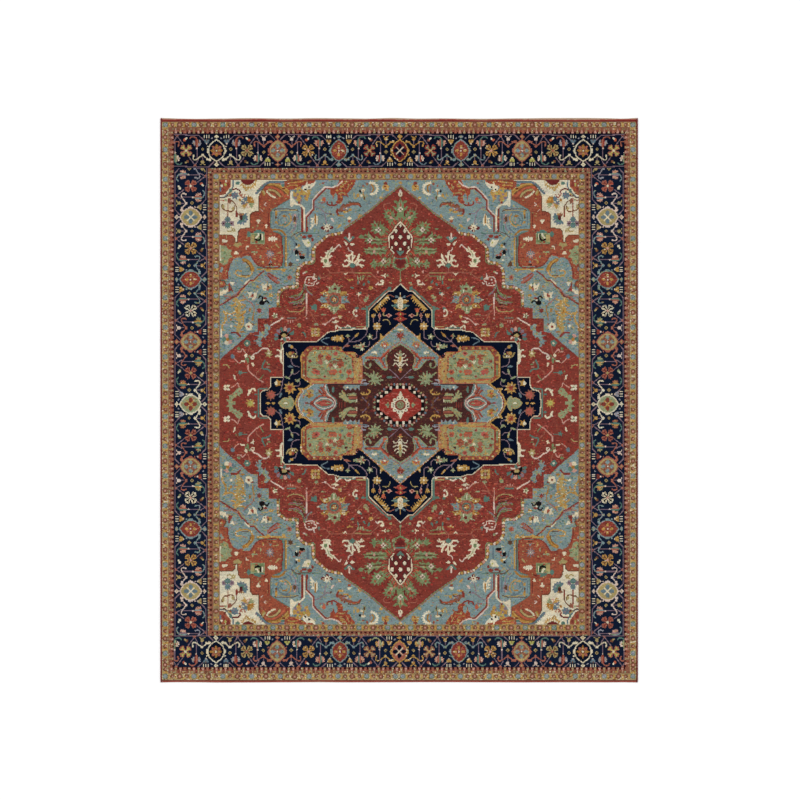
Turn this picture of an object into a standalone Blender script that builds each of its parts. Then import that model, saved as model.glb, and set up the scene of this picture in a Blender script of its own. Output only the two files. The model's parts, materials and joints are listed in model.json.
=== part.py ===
"""A hand-knotted wool rug, lying flat on a floor.

It has three pieces: the knotted cloth in one length, with its pile and its two flatwoven ends, and the
wool-bound cord that is sewn along each long side. Metres, +Z up. The origin is the middle of the rug's
footprint, on the floor, and +Y runs along the warps, from the near end to the far end.
"""

import math

import bmesh
import bpy

# Driving dimensions
RUG_WIDTH = 3.050  # over the two side cords
RUG_LENGTH = 3.607  # over the two flatwoven ends
RUG_HEIGHT = 0.011  # from the floor to the tips of the pile
FLATWEAVE_THICKNESS = 0.003
CORD_WIDTH = 0.011
CORD_HEIGHT = 0.009
GAP = 0.0003  # between the cloth and each side cord

# Where the pile stops and the flatwoven end begins, measured in from each end of the rug
FAR_SKIRT = 0.0185
NEAR_SKIRT = 0.0135

# Colours, as linear red, green and blue
BRICK_WOOL = (0.27, 0.055, 0.037)
CORD_WOOL = (0.18, 0.028, 0.022)
WOOL_ROUGHNESS = 0.95

# How the cut pile rounds over at its edges: distance in from the edge, and the share of the pile's height there
PILE_SHOULDER = (
    # inward, height share
    (0.0000, 0.62),
    (0.0012, 0.82),
    (0.0032, 0.94),
    (0.0070, 1.00),
)

# The woven ends aren't straight: how far each stands back from the rug's full length
END_OUTLINE = (
    # across, far end, near end
    (-1.530, 0.0005, 0.0006),
    (-1.480, 0.0022, 0.0020),
    (-1.400, 0.0046, 0.0028),
    (-1.290, 0.0062, 0.0016),
    (-1.150, 0.0044, 0.0004),
    (-0.970, 0.0014, 0.0008),
    (-0.700, 0.0040, 0.0018),
    (-0.530, 0.0014, 0.0024),
    (-0.350, 0.0028, 0.0016),
    (-0.210, 0.0046, 0.0018),
    (-0.040, 0.0006, 0.0022),
    (0.130, 0.0044, 0.0028),
    (0.260, 0.0032, 0.0030),
    (0.530, 0.0056, 0.0022),
    (0.780, 0.0030, 0.0014),
    (0.960, 0.0012, 0.0018),
    (1.200, 0.0008, 0.0016),
    (1.320, 0.0022, 0.0014),
    (1.430, 0.0050, 0.0020),
    (1.530, 0.0002, 0.0008),
)

STATION_SPACING = 0.045  # between the cross-sections of the cloth
CORD_SPACING = 0.060  # between the cross-sections of a side cord
CORD_SIDES = 14

CLOTH_HALF_WIDTH = RUG_WIDTH / 2 - CORD_WIDTH - GAP
HALF_LENGTH = RUG_LENGTH / 2


def clear_scene():
    """Removes whatever the file was opened with."""
    for obj in list(bpy.data.objects):
        bpy.data.objects.remove(obj)


def wool(name, colour):
    """A plain matt wool of one colour."""
    material = bpy.data.materials.new(name)
    material.use_nodes = True
    shader = material.node_tree.nodes["Principled BSDF"]
    shader.inputs["Base Color"].default_value = (*colour, 1.0)
    shader.inputs["Roughness"].default_value = WOOL_ROUGHNESS
    shader.inputs["Metallic"].default_value = 0.0
    return material


def end_setbacks(across):
    """How far the far and the near end stand back at this place across the rug, as (far, near)."""
    for left, right in zip(END_OUTLINE, END_OUTLINE[1:]):
        if across <= right[0]:
            share = (across - left[0]) / (right[0] - left[0])
            smooth = (1 - math.cos(math.pi * share)) / 2
            return tuple(a + (b - a) * smooth for a, b in zip(left[1:], right[1:]))
    return END_OUTLINE[-1][1:]


def cloth_section(across, side_share):
    """The cloth's lengthwise outline at one place across it, as (y, z) points that run once around it.

    side_share lowers the pile where the section is near a long side."""
    far_setback, near_setback = end_setbacks(across)
    far_edge = HALF_LENGTH - far_setback
    near_edge = -HALF_LENGTH + near_setback
    far_pile = HALF_LENGTH - FAR_SKIRT
    near_pile = -HALF_LENGTH + NEAR_SKIRT
    pile_height = (RUG_HEIGHT - FLATWEAVE_THICKNESS) * side_share
    far_shoulder = [
        (far_pile - inward, FLATWEAVE_THICKNESS + pile_height * share) for inward, share in PILE_SHOULDER
    ]
    near_shoulder = [
        (near_pile + inward, FLATWEAVE_THICKNESS + pile_height * share) for inward, share in PILE_SHOULDER
    ]
    return [
        (near_edge, 0.0),
        (far_edge, 0.0),
        (far_edge, FLATWEAVE_THICKNESS),
        (far_pile, FLATWEAVE_THICKNESS),
        *far_shoulder,
        *reversed(near_shoulder),
        (near_pile, FLATWEAVE_THICKNESS),
        (near_edge, FLATWEAVE_THICKNESS),
    ]


def cloth_stations():
    """Each place across the cloth that has a section, with the share of the pile's height there."""
    shoulder = [(CLOTH_HALF_WIDTH - inward, share) for inward, share in PILE_SHOULDER]
    inner = shoulder[-1][0]
    steps = round(2 * inner / STATION_SPACING)
    middle = [(-inner + 2 * inner * i / steps, 1.0) for i in range(1, steps)]
    left_side = [(-across, share) for across, share in shoulder]
    return left_side + middle + list(reversed(shoulder))


def lofted(name, rings, material):
    """A closed object through rings of points, with a flat cap at each end."""
    mesh = bmesh.new()
    rows = [[mesh.verts.new(point) for point in ring] for ring in rings]
    for row, following in zip(rows, rows[1:]):
        for i in range(len(row)):
            j = (i + 1) % len(row)
            mesh.faces.new((row[i], row[j], following[j], following[i]))
    mesh.faces.new(rows[0])
    mesh.faces.new(rows[-1])
    bmesh.ops.recalc_face_normals(mesh, faces=mesh.faces)
    data = bpy.data.meshes.new(name)
    mesh.to_mesh(data)
    mesh.free()
    data.materials.append(material)
    obj = bpy.data.objects.new(name, data)
    bpy.context.scene.collection.objects.link(obj)
    return obj


def knotted_cloth(material):
    """The rug itself: pile and flatwoven ends in one piece, flat underneath."""
    rings = [[(across, y, z) for y, z in cloth_section(across, share)] for across, share in cloth_stations()]
    return lofted("knotted_cloth", rings, material)


def side_cord(name, side, material):
    """The wool-bound cord along one long side. side is -1 on the left and 1 on the right."""
    centre = side * (RUG_WIDTH - CORD_WIDTH) / 2
    far_setback, near_setback = end_setbacks(centre)
    start, end = -HALF_LENGTH + near_setback, HALF_LENGTH - far_setback
    count = round((end - start) / CORD_SPACING)
    turns = [2 * math.pi * (i + 0.5) / CORD_SIDES for i in range(CORD_SIDES)]
    widest = math.cos(turns[0] - 2 * math.pi * round(turns[0] / (2 * math.pi)))
    highest = max(math.sin(turn) for turn in turns)
    rings = []
    for i in range(count + 1):
        y = start + (end - start) * i / count
        rings.append(
            [
                (
                    centre + CORD_WIDTH / 2 * math.cos(turn) / widest,
                    y,
                    CORD_HEIGHT / 2 * (1 + math.sin(turn) / highest),
                )
                for turn in turns
            ]
        )
    cord = lofted(name, rings, material)
    cord.data.shade_smooth()
    cord.data.set_sharp_from_angle(angle=math.radians(40))
    return cord


def main():
    clear_scene()
    rug = bpy.data.objects.new("rug", None)
    bpy.context.scene.collection.objects.link(rug)
    cord_wool = wool("cord_wool", CORD_WOOL)
    pieces = [
        knotted_cloth(wool("pile_wool", BRICK_WOOL)),
        side_cord("side_cord_left", -1, cord_wool),
        side_cord("side_cord_right", 1, cord_wool),
    ]
    for piece in pieces:
        piece.parent = rug


main()
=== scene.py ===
"""The looks of a hand-knotted wool rug that lies flat on a pale floor, seen from above.

The pile is charted knot by knot, as a weaver's graph is. Motifs are drawn on the chart with a pen, in
centimetres from the middle of the rug, x to the right and y to the far end. Each knot of the chart then
becomes one face of the pile, dyed in its yarn's colour. Meshes are in metres, in the frame of the model.
"""

import json
import math

import bpy
import numpy as np
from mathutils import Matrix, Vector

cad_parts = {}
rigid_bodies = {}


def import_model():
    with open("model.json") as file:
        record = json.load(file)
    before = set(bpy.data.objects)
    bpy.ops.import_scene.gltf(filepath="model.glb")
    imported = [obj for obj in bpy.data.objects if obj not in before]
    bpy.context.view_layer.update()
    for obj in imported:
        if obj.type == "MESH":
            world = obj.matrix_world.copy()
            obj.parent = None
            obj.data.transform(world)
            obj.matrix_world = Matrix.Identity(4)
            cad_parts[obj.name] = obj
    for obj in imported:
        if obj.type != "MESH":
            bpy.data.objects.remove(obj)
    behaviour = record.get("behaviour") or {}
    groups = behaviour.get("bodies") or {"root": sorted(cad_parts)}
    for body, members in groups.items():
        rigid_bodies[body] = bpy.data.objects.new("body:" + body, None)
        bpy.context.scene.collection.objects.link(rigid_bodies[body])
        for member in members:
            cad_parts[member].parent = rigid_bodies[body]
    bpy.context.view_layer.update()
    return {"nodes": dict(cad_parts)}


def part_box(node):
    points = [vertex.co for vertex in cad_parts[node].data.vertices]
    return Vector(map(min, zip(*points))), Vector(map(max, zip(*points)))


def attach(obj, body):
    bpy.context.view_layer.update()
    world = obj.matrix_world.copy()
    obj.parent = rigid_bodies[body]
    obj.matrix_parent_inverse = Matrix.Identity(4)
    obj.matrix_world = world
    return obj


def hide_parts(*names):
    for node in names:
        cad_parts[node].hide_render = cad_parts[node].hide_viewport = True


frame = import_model()

# The dyed yarns, each as the red, green and blue that it shows on a screen, from 0 to 255
DYES = {
    "navy": (5, 13, 33),
    "brick": (127, 58, 48),
    "terracotta": (151, 80, 58),
    "maroon": (72, 40, 37),
    "oxblood": (104, 40, 38),
    "salmon": (158, 96, 78),
    "coral": (178, 92, 66),
    "pink": (194, 146, 130),
    "blush": (210, 188, 172),
    "ivory": (216, 206, 178),
    "cream": (214, 202, 172),
    "gold": (180, 142, 78),
    "ochre": (160, 112, 52),
    "khaki": (166, 148, 98),
    "lime": (172, 168, 92),
    "sage": (142, 150, 114),
    "green": (112, 128, 88),
    "teal": (88, 118, 106),
    "sky": (124, 144, 143),
    "slate": (98, 116, 124),
    "mauve": (132, 110, 118),
    "brown": (96, 66, 46),
    "black": (20, 16, 18),
    "madder": (150, 52, 44),
    "undyed": (188, 160, 132),
    "russet": (136, 88, 68),
    "umber": (112, 72, 50),
    "lilac": (146, 144, 150),
    "sand": (170, 148, 108),
    "wine": (60, 18, 18),
    "rose": (172, 88, 76),
    "plum": (118, 96, 106),
    "indigo": (12, 24, 46),
    "dun": (152, 128, 90),
    "ember": (150, 72, 52),
    "mottled": (176, 136, 84),
}
NUMBER = {name: place for place, name in enumerate(DYES)}
DYE_RANGE = (0.0005, 0.95)  # the darkest and the palest linear colour that a knot may have

# The pile, in metres
KNOTS_ACROSS = 600
KNOTS_ALONG = 708
PILE_STRIPS = 5
PILE_HEIGHT = 0.011
CLOTH_THICKNESS = 0.003
FAR_SKIRT = 0.0185  # how far the flatwoven end runs past the pile
NEAR_SKIRT = 0.0135

# The bands of the border, in centimetres: half width, far edge, near edge
OUTER_GUARD = (151.4, 177.9, -178.5)
OUTER_STRIPE = (147.1, 173.9, -174.0)
MAIN_BORDER = (143.9, 170.3, -170.6)
INNER_STRIPE = (122.25, 148.4, -150.4)
INNER_GUARD = (118.95, 144.9, -147.2)
FIELD = (114.7, 140.8, -143.1)

EVERYWHERE = (-999.0, -999.0, 999.0, 999.0)  # a box about the whole chart: left, near, right and far edge
THINNEST_LINE = 0.52  # in centimetres, about one knot
CURVE_STEPS = 5  # from each point of a smooth curve to the next

# How far each of a flower's petals is turned, in degrees
AXES = (0, 90, 180, 270)
DIAGONALS = (45, 135, 225, 315)

# The lines that the field's pattern mirrors about, in centimetres
MIDDLE_X = 0.8
MIDDLE_Y = -1.9
HEXAGON_Y = -3.0  # the innermost figures mirror about this instead

# The other yarns that the weaver ties into each ground in short runs, and their shares
MIXED_GROUNDS = {
    "brick": (("oxblood", 0.09), ("madder", 0.14), ("terracotta", 0.05)),
    "sky": (("slate", 0.08), ("sage", 0.09), ("khaki", 0.05), ("lilac", 0.06), ("teal", 0.05)),
    "terracotta": (("brick", 0.13), ("coral", 0.08), ("khaki", 0.05), ("russet", 0.08)),
    "ivory": (("cream", 0.14), ("blush", 0.06)),
    "sage": (("green", 0.10), ("khaki", 0.12), ("salmon", 0.06)),
    "sand": (("khaki", 0.12), ("cream", 0.05), ("umber", 0.06)),
    "maroon": (("oxblood", 0.14), ("brown", 0.12)),
    "green": (("sage", 0.12), ("umber", 0.10)),
    "gold": (("ochre", 0.12), ("cream", 0.06)),
    "dun": (("khaki", 0.10), ("umber", 0.10)),
    "madder": (("brick", 0.16), ("rose", 0.26)),
    "ember": (("brick", 0.20), ("coral", 0.10), ("gold", 0.07), ("khaki", 0.06)),
    "mottled": (("salmon", 0.12), ("khaki", 0.08), ("green", 0.03), ("brick", 0.05)),
}

RUN_KNOTS = (1, 2.4)  # rows and columns to each of those runs

# How much the tone of the yarn varies, as a share: by row, in patches, in short streaks and knot by knot
ROW_TONE = 0.06
PATCH_TONE = 0.05
STREAK_TONE = 0.15
KNOT_TONE = 0.11
WARMTH_PATCH_TONE = 0.05  # how much redder and less blue the yarn is, in patches and knot by knot
WARMTH_KNOT_TONE = 0.03

# The rows and columns of knots to each patch of those
ROW_KNOTS = (14, 1)
PATCH_KNOTS = (9, 16)
STREAK_KNOTS = (1.2, 3.2)
WARMTH_KNOTS = (6, 9)

PILE_FOOT = 0.0032  # where the pile's slab begins, just above the woven ground
SHOULDER = (0.62, 0.97)  # the share of the pile's height at its edge and one knot in

# How uneven the pile is, in metres
PATCH_RISE = 0.00025
RISE_KNOTS = (18, 18)  # rows and columns of knots to each of those patches
TIP_ROOM = 0.0003  # from the tips' mean height to the top of the solid
TIP_DROP = 0.00035
EDGE_DROP = 0.0004

# The flat map of each pile strip: its margin, its two halves, and a row for each wall
MAP_MARGIN = 0.004
MAP_HALF = 0.474
MAP_SECOND_HALF = 0.482
MAP_WALLS = 0.966
MAP_WALL_STEP = 0.006
MAP_WALL_HEIGHT = 0.004

# The wefts of the flatwoven ends: where each yarn starts, in metres out from the pile. The first band,
# oxblood from below the pile to just past its edge, is painted shadow of the pile's step
FAR_WEFTS_AND_STEP_SHADE = ((-0.1, "oxblood"), (0.0008, "madder"), (0.0048, "rose"), (0.0098, "undyed"))
NEAR_WEFTS_AND_STEP_SHADE = ((-0.1, "oxblood"), (0.0030, "rose"), (0.0080, "salmon"), (0.0125, "undyed"))
WEFT_WANDER = 0.0035
SKIRT_ROWS = 8  # of faces in each flatwoven end
TUCK = 0.004  # how far those run on below the pile
RIB_HEIGHT = 0.00012
WEFT_ROOM = 0.0003  # from the wefts' mean height to the top of the solid
WEFT_BUMP = 0.00015
LAST_WEFT_DROP = 0.0011
TUCK_DROP = 0.0002  # from the row below the pile to the top of the solid
WEFT_TONE = 0.1
BACK_BLOCK = 4  # knots to each cell of the underside
BACK_SHARE = 0.8  # how much of the knots' colour shows there, among the wefts

# The cord bound over each long side
CORD_SIDES = 8
TURN_PITCH = 0.005  # from one turn of its binding to the next
TURN_DEPTH = 0.09  # of a turn's ridge, as a share of the cord's radius
CORD_DYES = {"left": (134, 56, 52), "right": (122, 46, 40)}
CORD_TAPER = 0.008  # over which the cord thins at each end
CORD_TIP = 0.4  # the share of its radius that is left there
TURN_UNEVEN = 0.03  # how far some turns sink, as a share of the radius
TURN_SLANT = 0.0012
CORD_PATCH_TONE = 0.14
CORD_TURN_TONE = 0.1
CORD_GROOVE_SHADE = 0.22  # painted shade: how much darker the colour is between two turns, in the groove

# The photograph's view: how much of the pile's plane it shows across, and the middle of that, in metres
VIEW_WIDTH = 5.1064
VIEW_MIDDLE = (0.0057, 0.0016)
LENS_MM = 90
SENSOR_MM = 36
FLOOR_HALF = 40.0
FLOOR_DROP = 0.0005  # from the rug's underside to the floor
SUN_STRENGTH = 1.05
SUN_WIDTH = 60  # in degrees, which makes its shadows soft
SUN_TILT = (-28, -22)  # in degrees about the x and the y axis
SKY_STRENGTH = 0.86
LIGHT_LEVEL = 1.26  # how much brighter than its own colour a matt surface shows under the lights

# From one warp, one weft and one strand of a cord's yarn to the next, in metres
WARP_PITCH = 0.0025
WEFT_PITCH = 0.0021
STRAND_PITCH = 0.0017

# How wool takes the light
WOOL_BUMP = 0.7
WOOL_SHEEN = 0.02
WOOL_SHEEN_ROUGHNESS = 0.6
WOOL_SPECULAR = 0.03

RANDOM = np.random.default_rng(20)


def smooth(points, closed=False):
    """A smooth curve through these points, as closely spaced points."""
    points = np.asarray(points, float)
    if closed:
        padded = np.vstack((points[-1:], points, points[:2]))
    else:
        padded = np.vstack((2 * points[0] - points[1], points, 2 * points[-1] - points[-2]))
    share = (np.arange(CURVE_STEPS) / CURVE_STEPS)[:, None]
    runs = []
    for before, start, end, after in zip(padded, padded[1:], padded[2:], padded[3:]):
        runs.append(
            start
            + (end - before) * share / 2
            + (2 * before - 5 * start + 4 * end - after) * share**2 / 2
            + (3 * start - before - 3 * end + after) * share**3 / 2
        )
    if not closed:
        runs.append(points[-1:])
    return np.vstack(runs)


class Chart:
    """The weaver's graph: for each knot, the number of its dye. Places are in centimetres."""

    def __init__(self, columns, rows, low, high):
        pitch_x = (high[0] - low[0]) / columns
        pitch_y = (high[1] - low[1]) / rows
        self.across = low[0] + (np.arange(columns) + 0.5) * pitch_x
        self.along = low[1] + (np.arange(rows) + 0.5) * pitch_y
        self.yarn = np.zeros((rows, columns), np.uint8)
        self.keep_within(*EVERYWHERE)

    def keep_within(self, left, near, right, far):
        """Leaves everything outside this box as it is from now on."""
        self.limit = np.array(((left, near), (right, far)))

    def window(self, points, reach=0.0):
        """The rows and columns that hold these points, and where their knots are."""
        low, high = np.clip((points.min(axis=0) - reach, points.max(axis=0) + reach), *self.limit)
        columns = slice(*np.searchsorted(self.across, (low[0], high[0])))
        rows = slice(*np.searchsorted(self.along, (low[1], high[1])))
        return rows, columns, self.across[columns][None, :], self.along[rows][:, None]

    def fill(self, number, points):
        """Fills a closed outline."""
        rows, columns, x, y = self.window(points)
        start_x, start_y = points.T
        end_x, end_y = np.roll(points, -1, axis=0).T
        rise = np.where(end_y == start_y, 1.0, end_y - start_y)
        crosses = (start_y > y[..., None]) != (end_y > y[..., None])
        at = start_x + (y[..., None] - start_y) * (end_x - start_x) / rise
        inside = (crosses & (x[..., None] < at)).sum(axis=-1) % 2 == 1
        self.yarn[rows, columns][inside] = number

    def line(self, number, width, points):
        """Draws a line with round ends."""
        for start, end in zip(points, points[1:]):
            rows, columns, x, y = self.window(np.array((start, end)), width / 2)
            run = end - start
            share = ((x - start[0]) * run[0] + (y - start[1]) * run[1]) / max(run @ run, 1e-9)
            share = share.clip(0, 1)
            away = np.hypot(x - start[0] - share * run[0], y - start[1] - share * run[1])
            self.yarn[rows, columns][away <= width / 2] = number


class Pen:
    """Draws on the chart from a place of its own. A pen with several frames draws each shape in all of
    them, such as both halves of a pattern that mirrors."""

    def __init__(self, chart, frames=((np.eye(2), np.zeros(2)),)):
        self.chart = chart
        self.frames = frames

    def at(self, x, y, turn=0.0, flip=False):
        """A pen at x, y, turned anticlockwise by turn degrees. If flip is set, it draws mirrored."""
        angle = math.radians(turn)
        rows = ((math.cos(angle), -math.sin(angle)), (math.sin(angle), math.cos(angle)))
        local = np.array(rows) @ np.diag((-1.0 if flip else 1.0, 1.0))
        return Pen(self.chart, [
            (matrix @ local, origin + matrix @ (x, y)) for matrix, origin in self.frames
        ])

    def mirrored(self, middle, flips):
        """A pen that draws once for each flip about the middle, such as (-1, 1) for left to right."""
        frames = []
        for flip in np.array(flips, float):
            shift = (1 - flip) * middle
            frames += [(matrix @ np.diag(flip), origin + matrix @ shift) for matrix, origin in self.frames]
        return Pen(self.chart, frames)

    def both(self):
        """A pen that draws each shape and its mirror image, left to right."""
        return self.mirrored((0, 0), ((1, 1), (-1, 1)))

    def fourfold(self, x, y):
        """A pen that draws each shape in all four quarters about x, y."""
        return self.mirrored((x, y), ((1, 1), (-1, 1), (1, -1), (-1, -1)))

    def fill(self, dye, points):
        """Fills an outline."""
        points = np.asarray(points, float)
        for matrix, origin in self.frames:
            self.chart.fill(NUMBER[dye], points @ matrix.T + origin)

    def line(self, dye, width, points, closed=False):
        """Draws a line, which ends where it starts if closed is set."""
        points = np.asarray(points, float)
        if closed:
            points = np.vstack((points, points[:1]))
        for matrix, origin in self.frames:
            self.chart.line(NUMBER[dye], max(width, THINNEST_LINE), points @ matrix.T + origin)

    def box(self, dye, left, low, right, high):
        """Fills a box between these edges."""
        self.fill(dye, ((left, low), (right, low), (right, high), (left, high)))

    def oval(self, dye, x, y, across, along=None, steps=14):
        """An oval, by its half width and half length."""
        turns = np.arange(steps) * 2 * math.pi / steps
        along = across if along is None else along
        self.fill(dye, np.column_stack((x + across * np.cos(turns), y + along * np.sin(turns))))


def band(pen, dye, edge):
    """Fills everything inside the outer edge of one band of the border."""
    half_width, far, near = edge
    pen.box(dye, -half_width, near, half_width, far)


def frill(pen, inner, outer, first, last, teeth, dye):
    """A toothed fan about the pen's place, between two angles in degrees anticlockwise from its x axis."""
    turns = np.radians(np.linspace(first, last, 2 * teeth + 1))
    way = np.column_stack((np.cos(turns), np.sin(turns)))
    reach = np.where(np.arange(len(turns)) % 2, outer, 0.76 * outer)[:, None]
    pen.fill(dye, np.vstack((reach * way, (inner * way)[::-1])))


def leaf(pen, length, width, dye):
    """A pointed leaf from the pen's place, along its y axis."""
    share = np.linspace(0, 1, 9)
    half = width / 2 * np.sin(np.pi * share**0.8)
    side = np.column_stack((half, length * share))
    pen.fill(dye, np.vstack((side, side[::-1] * (-1, 1))))


def flower(pen, petals, reach, dyes, heart):
    """A round flower: petals in turn from the dyes, about a heart."""
    width = 1.7 * reach * math.sin(math.pi / petals)
    for i in range(petals):
        petal = pen.at(0, 0, 360 * i / petals)
        petal.oval(dyes[i % len(dyes)], 0, 0.6 * reach, width / 2, 0.4 * reach, 10)
    pen.oval(heart, 0, 0, 0.32 * reach)


def star(pen, points, outer, inner, dye):
    """A star with its first point along y."""
    turns = np.arange(2 * points) * math.pi / points
    reach = np.where(np.arange(2 * points) % 2, inner, outer)
    pen.fill(dye, np.column_stack((reach * np.sin(turns), reach * np.cos(turns))))


def tulip(pen, dye):
    """A small bud whose three petals point along the pen's y axis."""
    pen.fill(dye, (
        (-0.7, -1.4), (0.7, -1.4), (1.4, 0.4), (1.3, 1.5), (0.6, 0.6), (0, 1.8), (-0.6, 0.6), (-1.3, 1.5),
        (-1.4, 0.4),
    ))


def comb(pen, length, width, teeth, dye):
    """A strip along the pen's x axis, with pointed teeth on its y side."""
    points = [(0, 0)]
    for i in range(teeth):
        points += [(length * (i + 0.1) / teeth, 0.35 * width), (length * (i + 0.8) / teeth, width)]
    pen.fill(dye, (*points, (length, 0)))


def serrated(pen, length, width, teeth, dye, vein=None):
    """A long leaf along the pen's y axis, its sides cut into teeth that point to its tip."""
    side = [(0, 0)]
    for i in range(teeth):
        spread = width / 2 * math.sin(math.pi * (0.2 + 0.75 * (i + 0.5) / teeth)) ** 0.7
        side += [(0.5 * spread, length * (i + 0.15) / teeth), (spread, length * (i + 0.95) / teeth)]
    side.append((0, length * 1.08))
    right = np.array(side)
    pen.fill(dye, np.vstack((right, right[::-1] * (-1, 1))))
    if vein:
        pen.line(vein, 0.5, ((0, 0.1 * length), (0, 0.85 * length)))


def lozenge(pen, x, y, half_width, half_length, dye):
    """A lozenge about x, y."""
    pen.fill(dye, ((x, y - half_length), (x + half_width, y), (x, y + half_length), (x - half_width, y)))


def quatrefoil(pen, lobe, veins, heart):
    """Four lobes on the diagonals, each with a stem and a chevron over it."""
    half = ((0.5, 0.5), (1.1, 1.8), (1.8, 3), (1.5, 4.1), (0.7, 3.9))
    for turn in DIAGONALS:
        petal = pen.at(0, 0, turn)
        petal.fill(lobe, (*half, (0, 4.6), *(np.array(half[::-1]) * (-1, 1)), (0, 0)))
        petal.line(veins, 0.7, ((0, 0.8), (0, 3.2)))
        petal.line(veins, 0.5, ((-1.1, 3.4), (0, 2.3), (1.1, 3.4)))
    pen.oval(heart, 0, 0, 0.8)


def palmette(pen, petal, near, far):
    """A flower seen from the side. It hangs from the pen's place, and its tail curls to the right."""
    side = (
        (1.1, -2.2), (2.4, -2.6), (2.2, -3.4), (3.2, -3.9), (2.4, -4.6), (2.9, -5.3), (1.7, -6),
        (1.2, -4.6),
    )
    pen.both().fill(petal, side)
    pen.both().line("gold", 0.5, ((1.9, -3.6), (1.9, -4.6)))
    pen.line(near, 0.7, smooth(((-0.2, -5.6), (0.3, -7), (1.6, -7.9), (3.3, -8), (4.3, -7))))
    pen.fill(near, smooth(
        ((0, -0.9), (-0.9, -2.4), (-1.1, -4.6), (-0.5, -6.6), (0, -6.4), (0.1, -3.5)), True,
    ))
    pen.fill(far, smooth(
        ((0, -0.9), (0.9, -2.6), (1.2, -4.6), (0.9, -6.2), (0.1, -6.2), (0.1, -3.5)), True,
    ))
    pen.oval("blush", 0, -0.6, 0.5, 0.6)


def fan_flower(pen, dye):
    """A small bell with three pale stamens that point to the edge of the border."""
    pen.fill(dye, ((-0.5, 1.7), (0.5, 1.7), (1.7, -0.2), (1.6, -1), (-1.6, -1), (-1.7, -0.2)))
    pen.line("umber", 0.5, ((0, -0.2), (0, -1)))
    pen.oval("blush", 0, 1.5, 0.5, 0.45)
    for across in (-1.45, 0, 1.45):
        pen.line("ivory", 0.5, ((across, -2), (across, -3.6)))


def cross_heart(pen, petals, lines):
    """Four broad petals on the axes of a cartouche, with two crossed lines over them."""
    for turn in AXES:
        pen.at(0, 0, turn).oval(petals, 0, 2.6, 1.35, 1.75, 8)
    for reach in (2.3, -2.3):
        pen.line(lines, 0.6, ((-reach, -2.3), (reach, 2.3)))


def flower_heart(pen, petals, between, middle):
    """Eight round petals, of which the four on the axes are larger."""
    for turn in AXES:
        pen.at(0, 0, turn).oval(petals, 0, 2.5, 0.9, 1.2)
    for turn in DIAGONALS:
        pen.at(0, 0, turn).oval(between, 0, 2.3, 0.5, 0.8)
    pen.oval(middle, 0, 0, 0.6)


def rosette_heart(pen, petals, between, middle):
    """Eight pointed petals about a dark ring."""
    for turn in range(0, 360, 45):
        petal = pen.at(0, 0, turn)
        petal.fill(petals if turn in AXES else between, (
            (0, 0.4), (0.9, 1.9), (0.9, 3), (0, 4.1), (-0.9, 3), (-0.9, 1.9),
        ))
        petal.oval("sand" if turn in AXES else "umber", 0, 2, 0.3, 0.4)
    pen.oval("umber", 0, 0, 1.2)
    pen.oval(middle, 0, 0, 0.7)


def wheel_heart(pen, petals, between, middle):
    """A toothed wheel under four lozenges on the axes."""
    star(pen.at(0, 0, 22.5), 8, 4.7, 3.9, between)
    for turn in AXES:
        lozenge(pen.at(0, 0, turn), 0, 2.8, 1.5, 1.7, petals)
        pen.at(0, 0, turn + 45).oval("umber", 0, 2.9, 0.45, 0.6)
        pen.at(0, 0, turn + 45).oval("salmon", 0, 1.8, 0.6, 0.5)
    pen.oval("umber", 0, 0, 1)
    pen.oval(middle, 0, 0, 0.6)


def cartouche(pen, width, ground_dye, outline, heart, marks):
    """The pointed medallion of the main border, 14 cm long, with half its width given. heart is the
    function that draws its middle, and marks are the dyes for that."""
    right = (
        (0, 6.8), (0.3, 5.9), (0.63, 4.7), (0.88, 3), (1, 0.8), (0.98, -1.2), (0.84, -3.2), (0.58, -4.9),
        (0.27, -6.1),
    )
    edge = np.vstack((right, ((0, -7.1),), np.array(right[:0:-1]) * (-1, 1))) * (width, 1)
    pen.fill(ground_dye, edge)
    both = pen.both()
    beside = both.at(width, 0)
    beside.fill(outline, ((-0.4, 1.8), (0.8, 1.5), (1.2, 0.2), (0.8, -1.2), (-0.3, -2)))
    beside.oval(outline, 0.6, -2.7, 0.5, 0.5)
    pen.line(outline, 0.7, edge, True)
    heart(pen, *marks)


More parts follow.
